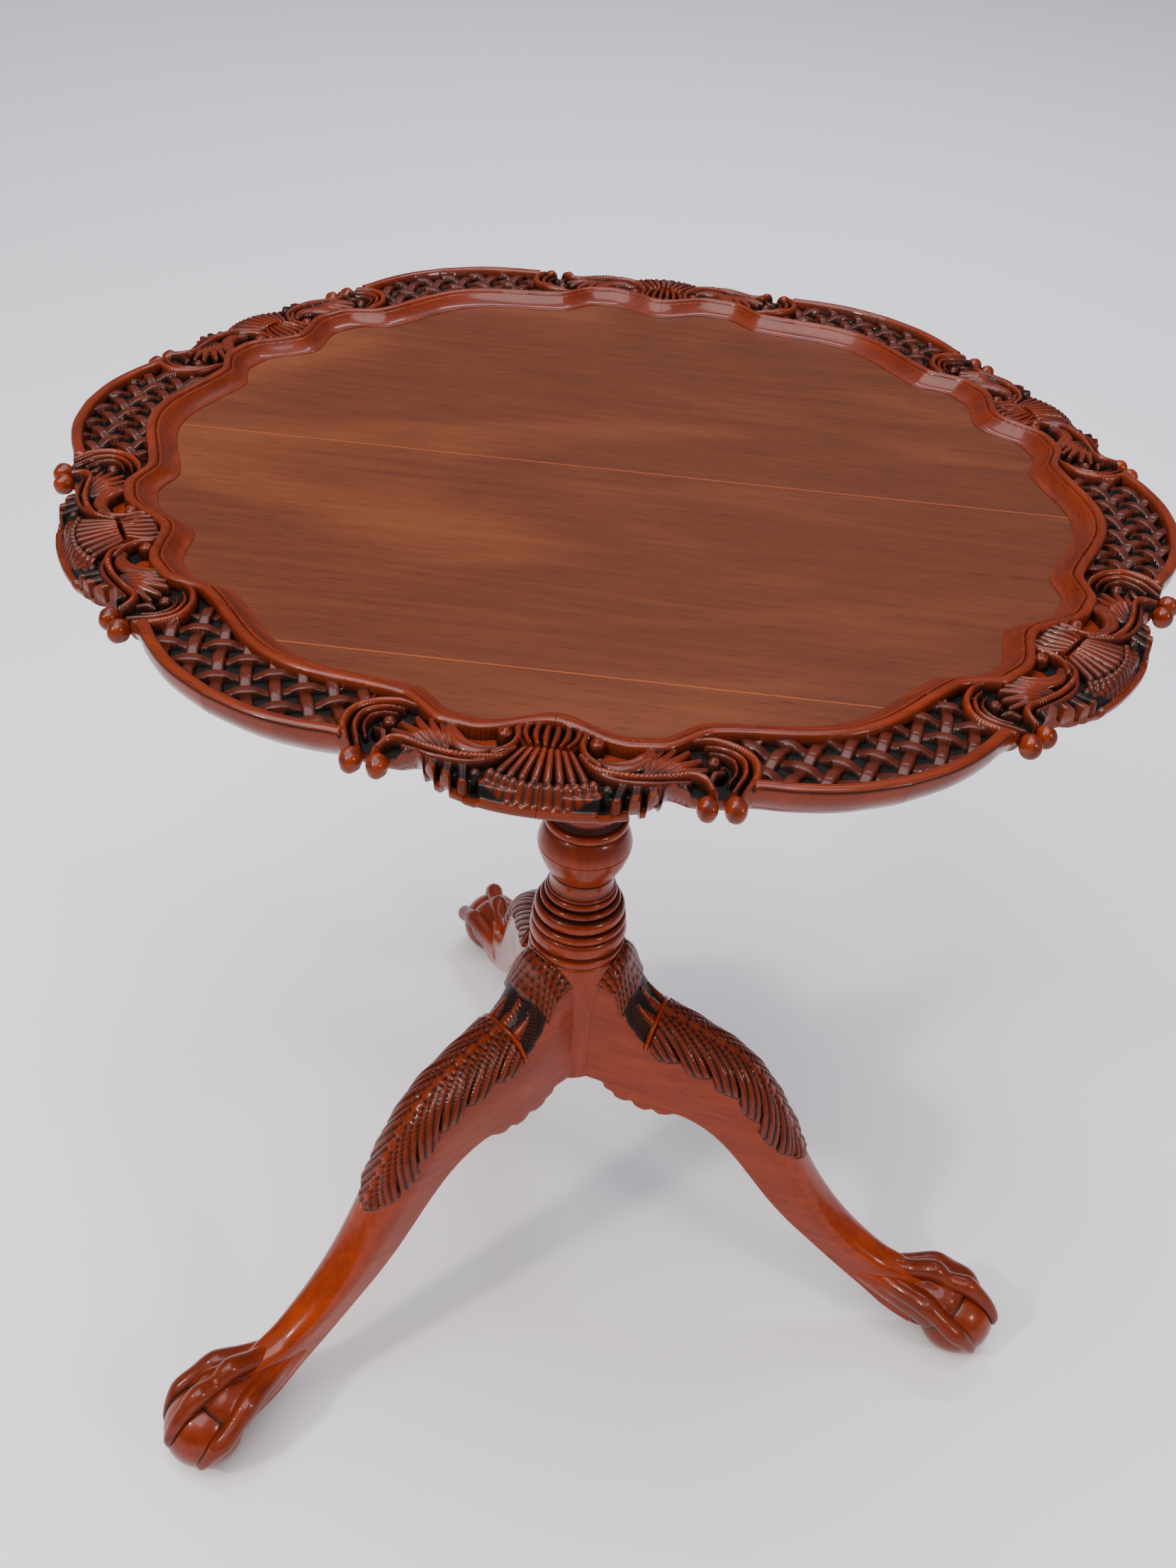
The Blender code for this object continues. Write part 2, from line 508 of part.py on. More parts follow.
def make_catch_plate(brass, top):
    """Brass plate with a guide at each end, and its screws."""
    high = UNDERSIDE_Z - FIT
    low = high - 0.0015
    plate = add_object("catch_plate", block("catch_plate", (-CATCH_HALF, CATCH_FRONT_Y, low),
                                            (CATCH_HALF, CATCH_BACK_Y, high)), brass, top)
    for label, y in (("front", 0.1075), ("back", 0.1585)):
        guide = block(label, (-0.0095, y, 0.6890), (0.0095, y + 0.0070, high - 0.0005))
        combine(plate, cutter(f"guide_{label}", guide, top), "UNION")
    slot = block("bolt_slot", (-0.0053, 0.10, BOLT_Z - 0.0028), (0.0053, 0.12, BOLT_Z + 0.0028))
    combine(plate, cutter("bolt_slot", slot, top))
    drill(plate, "rod_hole", 0.0023, 0.0200, top, (0, 0.15, BOLT_Z), "Y", 16)
    for i, (x, y) in enumerate(CATCH_SCREWS, 1):
        drill(plate, f"catch_hole_{i}", 0.0016, 0.0100, top, (x, y, low - 0.004), segments=12)
        screw(f"catch_screw_{i}", brass, top, (x, y, low - FIT), 0.0026, 0.0012, 0.0095)


def make_catch_bolt(brass, slide):
    """Bolt with its bevelled tongue, the rod behind it, and its turned thumb knob."""
    half_x, half_z = 0.0050, 0.0025
    low, high = BOLT_Z - half_z, BOLT_Z + half_z
    outline = [(BOLT_TIP_Y, high), (BOLT_TIP_Y, BOLT_Z), (BOLT_TIP_Y + 0.004, low), (BOLT_HEEL_Y, low),
               (BOLT_HEEL_Y, high)]
    bm = bmesh.new()
    tip = slide["table_place"]
    skin(bm, [[(x, y - tip[1], z - tip[2]) for y, z in outline] for x in (-half_x, half_x)])
    bolt = add_object("catch_bolt", mesh_from("catch_bolt", bm, 30.0), brass, slide, tip)
    rod = turned("bolt_rod", [(0.0020, BOLT_END_Y), (0.0020, BOLT_HEEL_Y - 0.002)], 16, "Y")
    combine(bolt, cutter("bolt_rod", rod, slide, (0, 0, BOLT_Z)), "UNION")
    top_of_knob = low - FIT
    profile = [(0.0025, 0.0), (0.0025, -0.0030), (0.0050, -0.0045), (0.0062, -0.0070), (0.0055, -0.0095),
               (0.0025, -0.0110)]
    add_object("catch_knob", turned("catch_knob", profile, 20), brass, slide, (0, 0.1300, top_of_knob))


def make_spring(steel, top):
    """Coil spring around the bolt's rod, between the bolt's heel and the back guide."""
    start, end = BOLT_HEEL_Y + 0.0008, 0.1585 - 0.0008
    coils, steps, mean, wire, sides = 5, 10, 0.0033, 0.0004, 6
    count = coils * steps
    rings = []
    for i in range(count + 1):
        turn = 2 * math.pi * i / steps
        centre = Vector((mean * math.cos(turn), start + (end - start) * i / count, mean * math.sin(turn)))
        outward = Vector((math.cos(turn), 0.0, math.sin(turn)))
        rings.append([centre + wire * (outward * math.cos(b) + Vector((0, 1, 0)) * math.sin(b))
                      for b in (2 * math.pi * k / sides for k in range(sides))])
    bm = bmesh.new()
    skin(bm, rings)
    add_object("catch_spring", mesh_from("catch_spring", bm), steel, top, (0, 0, BOLT_Z))


# ---------------------------------------------------------------- assembly


def empty(name, place, parent=None):
    """An empty on a joint's axis. Its place is kept from the pillar axis."""
    obj = bpy.data.objects.new(name, None)
    bpy.context.scene.collection.objects.link(obj)
    obj["table_place"] = place
    if parent:
        obj.parent = parent
        obj.location = Vector(place) - Vector(parent["table_place"])
    return obj


def main():
    """Build the whole table."""
    for obj in list(bpy.data.objects):
        bpy.data.objects.remove(obj, do_unlink=True)
    mahogany = finish("mahogany_polished", (0.300, 0.085, 0.030), 0.28)
    field = finish("mahogany_field", (0.165, 0.058, 0.032), 0.38)
    plain = finish("mahogany_underside", (0.185, 0.080, 0.040), 0.60)
    brass = finish("brass_aged", (0.560, 0.370, 0.130), 0.35, 1.0)
    iron = finish("iron_black", (0.055, 0.050, 0.048), 0.60, 1.0)

    base = empty("pillar_axis", (0.0, 0.0, 0.0))
    base.location = (PILLAR_X, PILLAR_Y, 0.0)
    cage = empty("swivel_axis", (0.0, 0.0, LOWER_PLATE[0]), base)
    top = empty("tilt_axis", (0.0, TILT_Y, TILT_Z), cage)
    slide = empty("catch_axis", (0.0, BOLT_TIP_Y, BOLT_Z), top)

    make_pillar(mahogany, base)
    make_collar_and_wedge(plain, base)
    for name, azimuth in LEG_AZIMUTHS.items():
        make_leg(name, azimuth, mahogany, base)
    make_brace(iron, base)
    make_cage(plain, plain, brass, cage)
    make_boards(field, top)
    make_rim(mahogany, top)
    make_bearers(plain, iron, top)
    make_catch_plate(brass, top)
    make_catch_bolt(brass, slide)
    make_spring(iron, top)


main()
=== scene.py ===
"""Looks of the carved tilt top tea table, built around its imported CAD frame.

The rim, legs and pillar are carved and turned here as fine meshes that stand for the plain CAD solids.
The boards, cage, bearers and catch keep their CAD shape and get their finishes. Lengths are in metres
unless a name ends in mm, and the object's own frame is the CAD's: Z up, floor at zero.
"""

import json
import logging
import math
from dataclasses import dataclass, field
from enum import Enum
from typing import Any, Sequence

import bmesh
import bpy
import numpy as np
from mathutils import Matrix, Vector

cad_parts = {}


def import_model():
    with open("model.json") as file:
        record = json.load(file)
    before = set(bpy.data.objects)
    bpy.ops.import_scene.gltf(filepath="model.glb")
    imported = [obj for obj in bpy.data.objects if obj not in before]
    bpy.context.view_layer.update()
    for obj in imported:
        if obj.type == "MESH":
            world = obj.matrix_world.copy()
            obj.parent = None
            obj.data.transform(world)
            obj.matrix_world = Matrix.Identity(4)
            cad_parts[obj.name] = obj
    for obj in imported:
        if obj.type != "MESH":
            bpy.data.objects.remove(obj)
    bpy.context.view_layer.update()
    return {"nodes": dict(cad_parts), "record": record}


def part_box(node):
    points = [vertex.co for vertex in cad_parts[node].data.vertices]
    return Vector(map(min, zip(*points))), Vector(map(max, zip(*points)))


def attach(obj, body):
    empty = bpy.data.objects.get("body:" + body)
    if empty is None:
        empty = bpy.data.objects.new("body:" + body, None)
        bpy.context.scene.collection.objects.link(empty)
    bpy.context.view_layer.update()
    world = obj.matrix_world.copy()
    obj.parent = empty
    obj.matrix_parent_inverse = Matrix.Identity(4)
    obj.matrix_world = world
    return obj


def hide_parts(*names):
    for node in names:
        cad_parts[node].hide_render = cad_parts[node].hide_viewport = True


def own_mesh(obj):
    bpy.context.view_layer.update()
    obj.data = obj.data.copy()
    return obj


LOG = logging.getLogger("tea_table")
MM = 0.001
NOWHERE = -99.0    # a height in millimetres that lies below every carving


# ---------------------------------------------------------------- small tools


class Body(Enum):
    """The moving bodies that pieces ride on."""

    BASE = "base"
    CAGE = "birdcage"
    TOP = "top"
    BOLT = "catch_bolt"


def linear(code: str) -> tuple[float, float, float, float]:
    """Turn an sRGB hex colour to linear.

    Args:
        code: Six hex digits, such as "8a4a2f".

    Returns:
        Linear red, green and blue, and an alpha of one.
    """
    channels = [int(code[i : i + 2], 16) / 255.0 for i in (0, 2, 4)]
    return (*[c / 12.92 if c <= 0.04045 else ((c + 0.055) / 1.055) ** 2.4 for c in channels], 1.0)


def add_node(tree: bpy.types.NodeTree, kind: str, settings: dict[str, Any] | None = None,
             links: dict[Any, Any] | None = None) -> bpy.types.Node:
    """Add one node with its settings and links.

    Args:
        tree: The node tree to add to.
        kind: Blender's type name of the node.
        settings: Node properties by name, and input values by a tuple of one socket name or number.
        links: Input socket name or number to the output socket that feeds it.

    Returns:
        The new node.
    """
    node = tree.nodes.new(kind)
    for key, value in (settings or {}).items():
        if isinstance(key, tuple):
            node.inputs[key[0]].default_value = value
        else:
            setattr(node, key, value)
    for key, source in (links or {}).items():
        tree.links.new(source, node.inputs[key])
    return node


def new_material(name: str) -> tuple[bpy.types.Material, bpy.types.NodeTree, bpy.types.Node]:
    """Start a node material and return it with its tree and its main shader."""
    material = bpy.data.materials.new(name)
    material.use_nodes = True
    return material, material.node_tree, material.node_tree.nodes["Principled BSDF"]


def smoothstep(low: float, high: float, x: np.ndarray) -> np.ndarray:
    """Smooth rise from zero at low to one at high."""
    t = np.clip((x - low) / (high - low), 0.0, 1.0)
    return t * t * (3.0 - 2.0 * t)


def half_round(q: np.ndarray, power: float = 2.0) -> np.ndarray:
    """Section of a rounded bar: one at its middle, where q is zero, and zero from q of one outward."""
    return np.sqrt(np.clip(1.0 - q**power, 0.0, 1.0))


def saw(q: np.ndarray) -> np.ndarray:
    """Distance from the middle of each unit step of q: zero at the middle and one at the ends."""
    return np.abs((q % 1.0) * 2.0 - 1.0)


def curve_points(points: Sequence[Sequence[float]], count: int) -> np.ndarray:
    """Sample a smooth curve through points.

    Args:
        points: Control points of any one dimension.
        count: Number of samples, ends included.

    Returns:
        Array of samples on a Catmull-Rom curve.
    """
    p = np.asarray(points, dtype=float)
    padded = np.vstack([2 * p[0] - p[1], p, 2 * p[-1] - p[-2]])
    t = np.linspace(0.0, len(p) - 1.0, count)
    i = np.minimum(t.astype(int), len(p) - 2)
    u = (t - i)[:, None]
    a, b, c, d = padded[i], padded[i + 1], padded[i + 2], padded[i + 3]
    return 0.5 * (2 * b + (c - a) * u + (2 * a - 5 * b + 4 * c - d) * u**2 + (3 * b - a - 3 * c + d) * u**3)


def mesh_from(name: str, verts: np.ndarray, quads: np.ndarray, loops: Sequence[Sequence[int]] = (),
              sharp: float = 50.0, recess: np.ndarray | None = None,
              grain: np.ndarray | None = None) -> bpy.types.Mesh:
    """Make a smooth shaded mesh from arrays.

    Args:
        name: Mesh name.
        verts: Vertex positions, one row each.
        quads: Four vertex numbers for each face.
        loops: Extra faces of any size, such as end caps.
        sharp: Edges that bend by more than this many degrees stay sharp.
        recess: How deep and dark each vertex lies, from zero to one: painted shade in hollows and grooves,
            partly dark staining.
        grain: Each vertex's place in the plank it was cut from, with the grain along X.

    Returns:
        The mesh.
    """
    mesh = bpy.data.meshes.new(name)
    mesh.from_pydata(verts.tolist(), [], quads.tolist() + [list(loop) for loop in loops])
    mesh.validate()
    mesh.update()
    mesh.shade_smooth()
    mesh.set_sharp_from_angle(angle=math.radians(sharp))
    if recess is not None:
        layer = mesh.attributes.new("recess", "FLOAT", "POINT")
        layer.data.foreach_set("value", recess.astype(np.float32))
        plank = mesh.attributes.new("grain", "FLOAT_VECTOR", "POINT")
        plank.data.foreach_set("vector", (verts if grain is None else grain).astype(np.float32).reshape(-1))
    return mesh


def tube_faces(rows: int, cols: int, wrap_cols: bool = True, start: int = 0) -> np.ndarray:
    """Quads of a grid of rows by cols vertices, whose columns may close on themselves."""
    r = np.arange(rows - 1)[:, None]
    c = np.arange(cols if wrap_cols else cols - 1)[None, :]
    n = (c + 1) % cols
    a, b, d, e = r * cols + c, r * cols + n, (r + 1) * cols + n, (r + 1) * cols + c
    return np.stack([a, b, d, e], axis=-1).reshape(-1, 4) + start


def end_caps(rows: int, cols: int, outward: bool = True) -> list[list[int]]:
    """Faces that close the first and the last ring of a tube, in either winding."""
    first, last = list(range(cols)), list(range((rows - 1) * cols, rows * cols))
    return [first, last[::-1]] if outward else [first[::-1], last]


def ball_angles(rows: int, cols: int) -> tuple[np.ndarray, np.ndarray]:
    """Polar and round angles of a ball's grid of rows by cols points."""
    v, u = np.meshgrid(np.linspace(0, 1, rows), np.linspace(0, 1, cols, endpoint=False), indexing="ij")
    return v * np.pi, u * 2 * np.pi


def turned(axis: Vector, degrees: float) -> Matrix:
    """Place on a vertical axis, turned about it by so many degrees."""
    return Matrix.Translation(axis) @ Matrix.Rotation(math.radians(degrees), 4, "Z")


def place(name: str, mesh: bpy.types.Mesh, material: bpy.types.Material, body: Body,
          matrix: Matrix | None = None, stands_for: Sequence[str] = ()) -> bpy.types.Object:
    """Link a mesh as a piece that rides on a body and stands for CAD nodes.

    Args:
        name: Piece name.
        mesh: Its mesh.
        material: Its material.
        body: The body it moves with.
        matrix: Its place, or none for the frame's own origin.
        stands_for: CAD nodes it replaces.

    Returns:
        The new object.
    """
    obj = bpy.data.objects.new(name, mesh)
    bpy.context.scene.collection.objects.link(obj)
    mesh.materials.append(material)
    if matrix is not None:
        spot, turn, _ = matrix.decompose()
        mesh.transform(turn.to_matrix().to_4x4())
        obj.location = spot
    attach(obj, body.value)
    if stands_for:
        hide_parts(*stands_for)
    LOG.info("%s: %d faces", name, len(mesh.polygons))
    return obj


# ---------------------------------------------------------------- finishes


@dataclass(frozen=True)
class Mahogany:
    """Honduras mahogany under french polish: warm brown with fine pores, darkened in its hollows by painted
    shade and dark staining.
    """

    name: str
    light: str
    dark: str
    # hollow: the colour that painted shade and dark staining mix in on carved pieces
    hollow: str
    roughness: float
    coat: float
    coat_roughness: float
    specular: float = 0.5
    pore_mm: float = 0.9
    streak_mm: float = 5.0
    figure_mm: float = 60.0
    figure: float = 0.35
    along: tuple[float, float, float] = (0.07, 1.0, 1.0)
    carved: bool = False
    glue_lines: tuple[float, ...] = ()
    glue_skew: float = 0.0
    glue_colour: str = "8a4424"

    def make(self) -> bpy.types.Material:
        """Build the node material.

        Returns:
            The material.
        """
        material, tree, shader = new_material(self.name)
        shader.inputs["Coat Weight"].default_value = self.coat
        shader.inputs["Coat Roughness"].default_value = self.coat_roughness
        shader.inputs["Specular IOR Level"].default_value = self.specular
        shader.inputs["IOR"].default_value = 1.52
        if self.carved:
            plank = add_node(tree, "ShaderNodeAttribute", {"attribute_name": "grain"})
            wood_place = plank.outputs["Vector"]
        else:
            wood_place = add_node(tree, "ShaderNodeTexCoord").outputs["Object"]
        # figure: broad cloudy bands that wander across the board
        broad = add_node(tree, "ShaderNodeMapping",
                         {("Scale",): [a * 1000 / self.figure_mm for a in (0.35, 1, 1)]},
                         {"Vector": wood_place})
        clouds = add_node(tree, "ShaderNodeTexNoise",
                          {("Scale",): 1.0, ("Detail",): 3.0, ("Distortion",): 1.4},
                          {"Vector": broad.outputs["Vector"]})
        bands = add_node(tree, "ShaderNodeMath", {"operation": "MULTIPLY", (1,): 9.0},
                         {0: clouds.outputs["Fac"]})
        rings = add_node(tree, "ShaderNodeMath", {"operation": "SINE"}, {0: bands.outputs[0]})
        figure = add_node(tree, "ShaderNodeMapRange",
                          {("From Min",): -1.0, ("To Min",): 0.5 - self.figure / 2,
                           ("To Max",): 0.5 + self.figure / 2}, {"Value": rings.outputs[0]})
        # streaks: growth lines drawn out along the grain
        drawn = add_node(tree, "ShaderNodeMapping",
                         {("Scale",): [a * 1000 / self.streak_mm for a in self.along]},
                         {"Vector": wood_place})
        streaks = add_node(tree, "ShaderNodeTexNoise",
                           {("Scale",): 1.0, ("Detail",): 5.0, ("Roughness",): 0.65},
                           {"Vector": drawn.outputs["Vector"]})
        blend = add_node(tree, "ShaderNodeMath", {"operation": "MULTIPLY_ADD", (1,): 0.7},
                         {0: streaks.outputs["Fac"], 2: figure.outputs["Result"]})
        tone = add_node(tree, "ShaderNodeMapRange", {("From Min",): 0.45, ("From Max",): 1.15},
                        {"Value": blend.outputs[0]})
        wood = add_node(tree, "ShaderNodeMix",
                        {"data_type": "RGBA", (6,): linear(self.dark), (7,): linear(self.light)},
                        {0: tone.outputs["Result"]})
        # pores: short dark dashes along the grain
        fine = add_node(tree, "ShaderNodeMapping",
                        {("Scale",): [a * 1000 / self.pore_mm for a in self.along]},
                        {"Vector": wood_place})
        pores = add_node(tree, "ShaderNodeTexNoise", {("Scale",): 1.0, ("Detail",): 2.0},
                         {"Vector": fine.outputs["Vector"]})
        dash = add_node(tree, "ShaderNodeMapRange", {("From Min",): 0.60, ("From Max",): 0.72},
                        {"Value": pores.outputs["Fac"]})
        pored = add_node(tree, "ShaderNodeMix",
                         {"data_type": "RGBA", "blend_type": "MULTIPLY", (7,): (0.62, 0.55, 0.50, 1.0)},
                         {0: dash.outputs["Result"], 6: wood.outputs[2]})
        colour = pored.outputs[2]
        if self.carved:
            # painted shade, partly dark staining: the recess value mixes in the hollow colour, darkest deep
            # in hollows and grooves, and dulls the polish there
            recess = add_node(tree, "ShaderNodeAttribute", {"attribute_name": "recess"})
            shade_and_stain = add_node(tree, "ShaderNodeMix", {"data_type": "RGBA", (7,): linear(self.hollow)},
                             {0: recess.outputs["Fac"], 6: colour})
            colour = shade_and_stain.outputs[2]
            dull = add_node(tree, "ShaderNodeMapRange", {("To Min",): self.roughness, ("To Max",): 0.62},
                            {"Value": recess.outputs["Fac"]})
            tree.links.new(dull.outputs["Result"], shader.inputs["Roughness"])
        else:
            wear = add_node(tree, "ShaderNodeMapRange", {("To Min",): self.roughness - 0.05,
                                                         ("To Max",): self.roughness + 0.07},
                            {"Value": clouds.outputs["Fac"]})
            tree.links.new(wear.outputs["Result"], shader.inputs["Roughness"])
        if self.glue_lines:
            colour = self.add_glue_lines(tree, wood_place, colour)
        tree.links.new(colour, shader.inputs["Base Color"])
        height = add_node(tree, "ShaderNodeMath", {"operation": "MULTIPLY_ADD", (1,): -0.8},
                          {0: dash.outputs["Result"], 2: streaks.outputs["Fac"]})
        bump = add_node(tree, "ShaderNodeBump", {("Strength",): 0.16, ("Distance",): 0.0004},
                        {"Height": height.outputs[0]})
        tree.links.new(bump.outputs["Normal"], shader.inputs["Normal"])
        return material

    def add_glue_lines(self, tree: bpy.types.NodeTree, where: bpy.types.NodeSocket,
                       colour: bpy.types.NodeSocket) -> bpy.types.NodeSocket:
        """Paint the thin pale lines where the boards of the field are glued.

        Args:
            tree: The material's tree.
            where: The place in the wood, measured from the middle of the top.
            colour: The wood colour so far.

        Returns:
            The colour with the lines.
        """
        split = add_node(tree, "ShaderNodeSeparateXYZ", {}, {0: where})
        across = add_node(tree, "ShaderNodeMath",
                          {"operation": "MULTIPLY_ADD", (1,): -math.tan(self.glue_skew)},
                          {0: split.outputs["X"], 2: split.outputs["Y"]})
        half_line = 0.0005
        for line in self.glue_lines:
            near = add_node(tree, "ShaderNodeMath", {"operation": "COMPARE", (1,): line, (2,): half_line},
                            {0: across.outputs[0]})
            faint = add_node(tree, "ShaderNodeMath", {"operation": "MULTIPLY", (1,): 0.75},
                             {0: near.outputs[0]})
            mixed = add_node(tree, "ShaderNodeMix", {"data_type": "RGBA", (7,): linear(self.glue_colour)},
                             {0: faint.outputs[0], 6: colour})
            colour = mixed.outputs[2]
        return colour


@dataclass(frozen=True)
class OldMetal:
    """Cast brass or forged iron with age: a metal that is bare in some patches and under a dull film in
    others.
    """

    name: str
    bright: str
    dull: str
    roughness: float
    patch_mm: float = 6.0

    def make(self) -> bpy.types.Material:
        """Build the node material.

        Returns:
            The material.
        """
        material, tree, shader = new_material(self.name)
        shader.inputs["Metallic"].default_value = 1.0
        where = add_node(tree, "ShaderNodeTexCoord")
        patches = add_node(tree, "ShaderNodeTexNoise", {("Scale",): 1000 / self.patch_mm, ("Detail",): 4.0},
                           {"Vector": where.outputs["Object"]})
        tone = add_node(tree, "ShaderNodeMapRange", {("From Min",): 0.38, ("From Max",): 0.62},
                        {"Value": patches.outputs["Fac"]})
        mix = add_node(tree, "ShaderNodeMix",
                       {"data_type": "RGBA", (6,): linear(self.dull), (7,): linear(self.bright)},
                       {0: tone.outputs["Result"]})
        tree.links.new(mix.outputs[2], shader.inputs["Base Color"])
        rough = add_node(tree, "ShaderNodeMapRange", {("To Min",): self.roughness + 0.12,
                                                      ("To Max",): self.roughness},
                         {"Value": tone.outputs["Result"]})
        tree.links.new(rough.outputs["Result"], shader.inputs["Roughness"])
        bump = add_node(tree, "ShaderNodeBump", {("Strength",): 0.12, ("Distance",): 0.0003},
                        {"Height": patches.outputs["Fac"]})
        tree.links.new(bump.outputs["Normal"], shader.inputs["Normal"])
        return material


@dataclass(frozen=True)
class Plaster:
    """Plain pale floor: matt painted board of one even colour, so that only shadows show on it."""

    name: str
    colour: str

    def make(self) -> bpy.types.Material:
        """Build the node material.

        Returns:
            The material.
        """
        material, tree, shader = new_material(self.name)
        shader.inputs["Roughness"].default_value = 0.9
        shader.inputs["Base Color"].default_value = linear(self.colour)
        return material


# ---------------------------------------------------------------- relief carving


@dataclass
class Relief:
    """A height field of carving over plan points, in millimetres, with its deepest floor set first."""

    x: np.ndarray
    y: np.ndarray
    z: np.ndarray

    def raise_to(self, height: np.ndarray, where: np.ndarray) -> None:
        """Lift the surface to a height at the points where a mask is true."""
        self.z[where] = np.maximum(self.z[where], height[where])

    def strand(self, points: Sequence[tuple[float, float]], half: tuple[float, ...], top: tuple[float, ...],
               depth: float = 4.0, groove: float = 0.0) -> None:
        """Carve a rounded strand, bead or leaf finger along a curve.

        Args:
            points: Curve in plan, in millimetres.
            half: Half width along the curve, evenly spaced.
            top: Height of its crest along the curve, evenly spaced.
            depth: How far its sides fall below the crest.
            groove: Depth of a vein cut along its crest.
        """
        path = curve_points(points, 48)
        t = np.linspace(0.0, 1.0, len(path))
        halves = np.interp(t, np.linspace(0, 1, len(half)), half)
        tops = np.interp(t, np.linspace(0, 1, len(top)), top)
        reach = halves.max() + 0.3
        near = ((self.x > path[:, 0].min() - reach) & (self.x < path[:, 0].max() + reach)
                & (self.y > path[:, 1].min() - reach) & (self.y < path[:, 1].max() + reach))
        px, py = self.x[near], self.y[near]
        best = np.full(px.shape, 1e9)
        crest = np.zeros(px.shape)
        for (cx, cy), w, h in zip(path, halves, tops):
            d = np.hypot(px - cx, py - cy) / w
            closer = d < best
            best = np.where(closer, d, best)
            crest = np.where(closer, h, crest)
        vein = groove * np.exp(-((best / 0.28) ** 2))
        z = np.where(best < 1.0, crest - depth * (1.0 - half_round(best)) - vein, NOWHERE)
        self.z[near] = np.maximum(self.z[near], z)

    def dome(self, cx: float, cy: float, radius: float, top: float, depth: float = 4.0,
             spiral: float = 0.0) -> None:
        """Carve a round bud, with a spiral cut in it if asked."""
        dx, dy = self.x - cx, self.y - cy
        d = np.hypot(dx, dy) / radius
        fall = 1.0 - half_round(d)
        turn = np.arctan2(dy, dx) / (2 * math.pi)
        wave = np.cos(2 * math.pi * (d * 1.6 - turn))
        z = np.where(d < 1.0, top - depth * fall - spiral * np.clip(-wave, 0, 1) * (d > 0.25), NOWHERE)
        self.z = np.maximum(self.z, z)

    def sink(self, outline: Sequence[tuple[float, float]], floor: float, soft: float = 1.2) -> None:
        """Cut a hollow inside a smooth closed outline down to a floor."""
        loop = curve_points([*outline, outline[0]], 60)
        centre = loop.mean(axis=0)
        angle = np.arctan2(loop[:, 1] - centre[1], loop[:, 0] - centre[0])
        radius = np.hypot(loop[:, 0] - centre[0], loop[:, 1] - centre[1])
        order = np.argsort(angle)
        a = np.arctan2(self.y - centre[1], self.x - centre[0])
        limit = np.interp(a, angle[order], radius[order], period=2 * math.pi)
        inside = limit - np.hypot(self.x - centre[0], self.y - centre[1])
        sunk = floor + (self.z - floor) * (1 - smoothstep(0, soft, inside))
        self.z = np.where(inside > 0, np.minimum(self.z, sunk), self.z)


def box_blur(z: np.ndarray, rows: int, cols: int) -> np.ndarray:
    """Mean of a height field over a window of 2 rows + 1 by 2 cols + 1 samples."""
    for axis, reach in ((0, rows), (1, cols)):
        pad = [(0, 0), (0, 0)]
        pad[axis] = (reach + 1, reach)
        total = np.cumsum(np.pad(z, pad, mode="edge"), axis=axis)
        n = z.shape[axis]
        upper = np.take(total, np.arange(2 * reach + 1, n + 2 * reach + 1), axis=axis)
        lower = np.take(total, np.arange(0, n), axis=axis)
        z = (upper - lower) / (2 * reach + 1)
    return z


# ---------------------------------------------------------------- the top


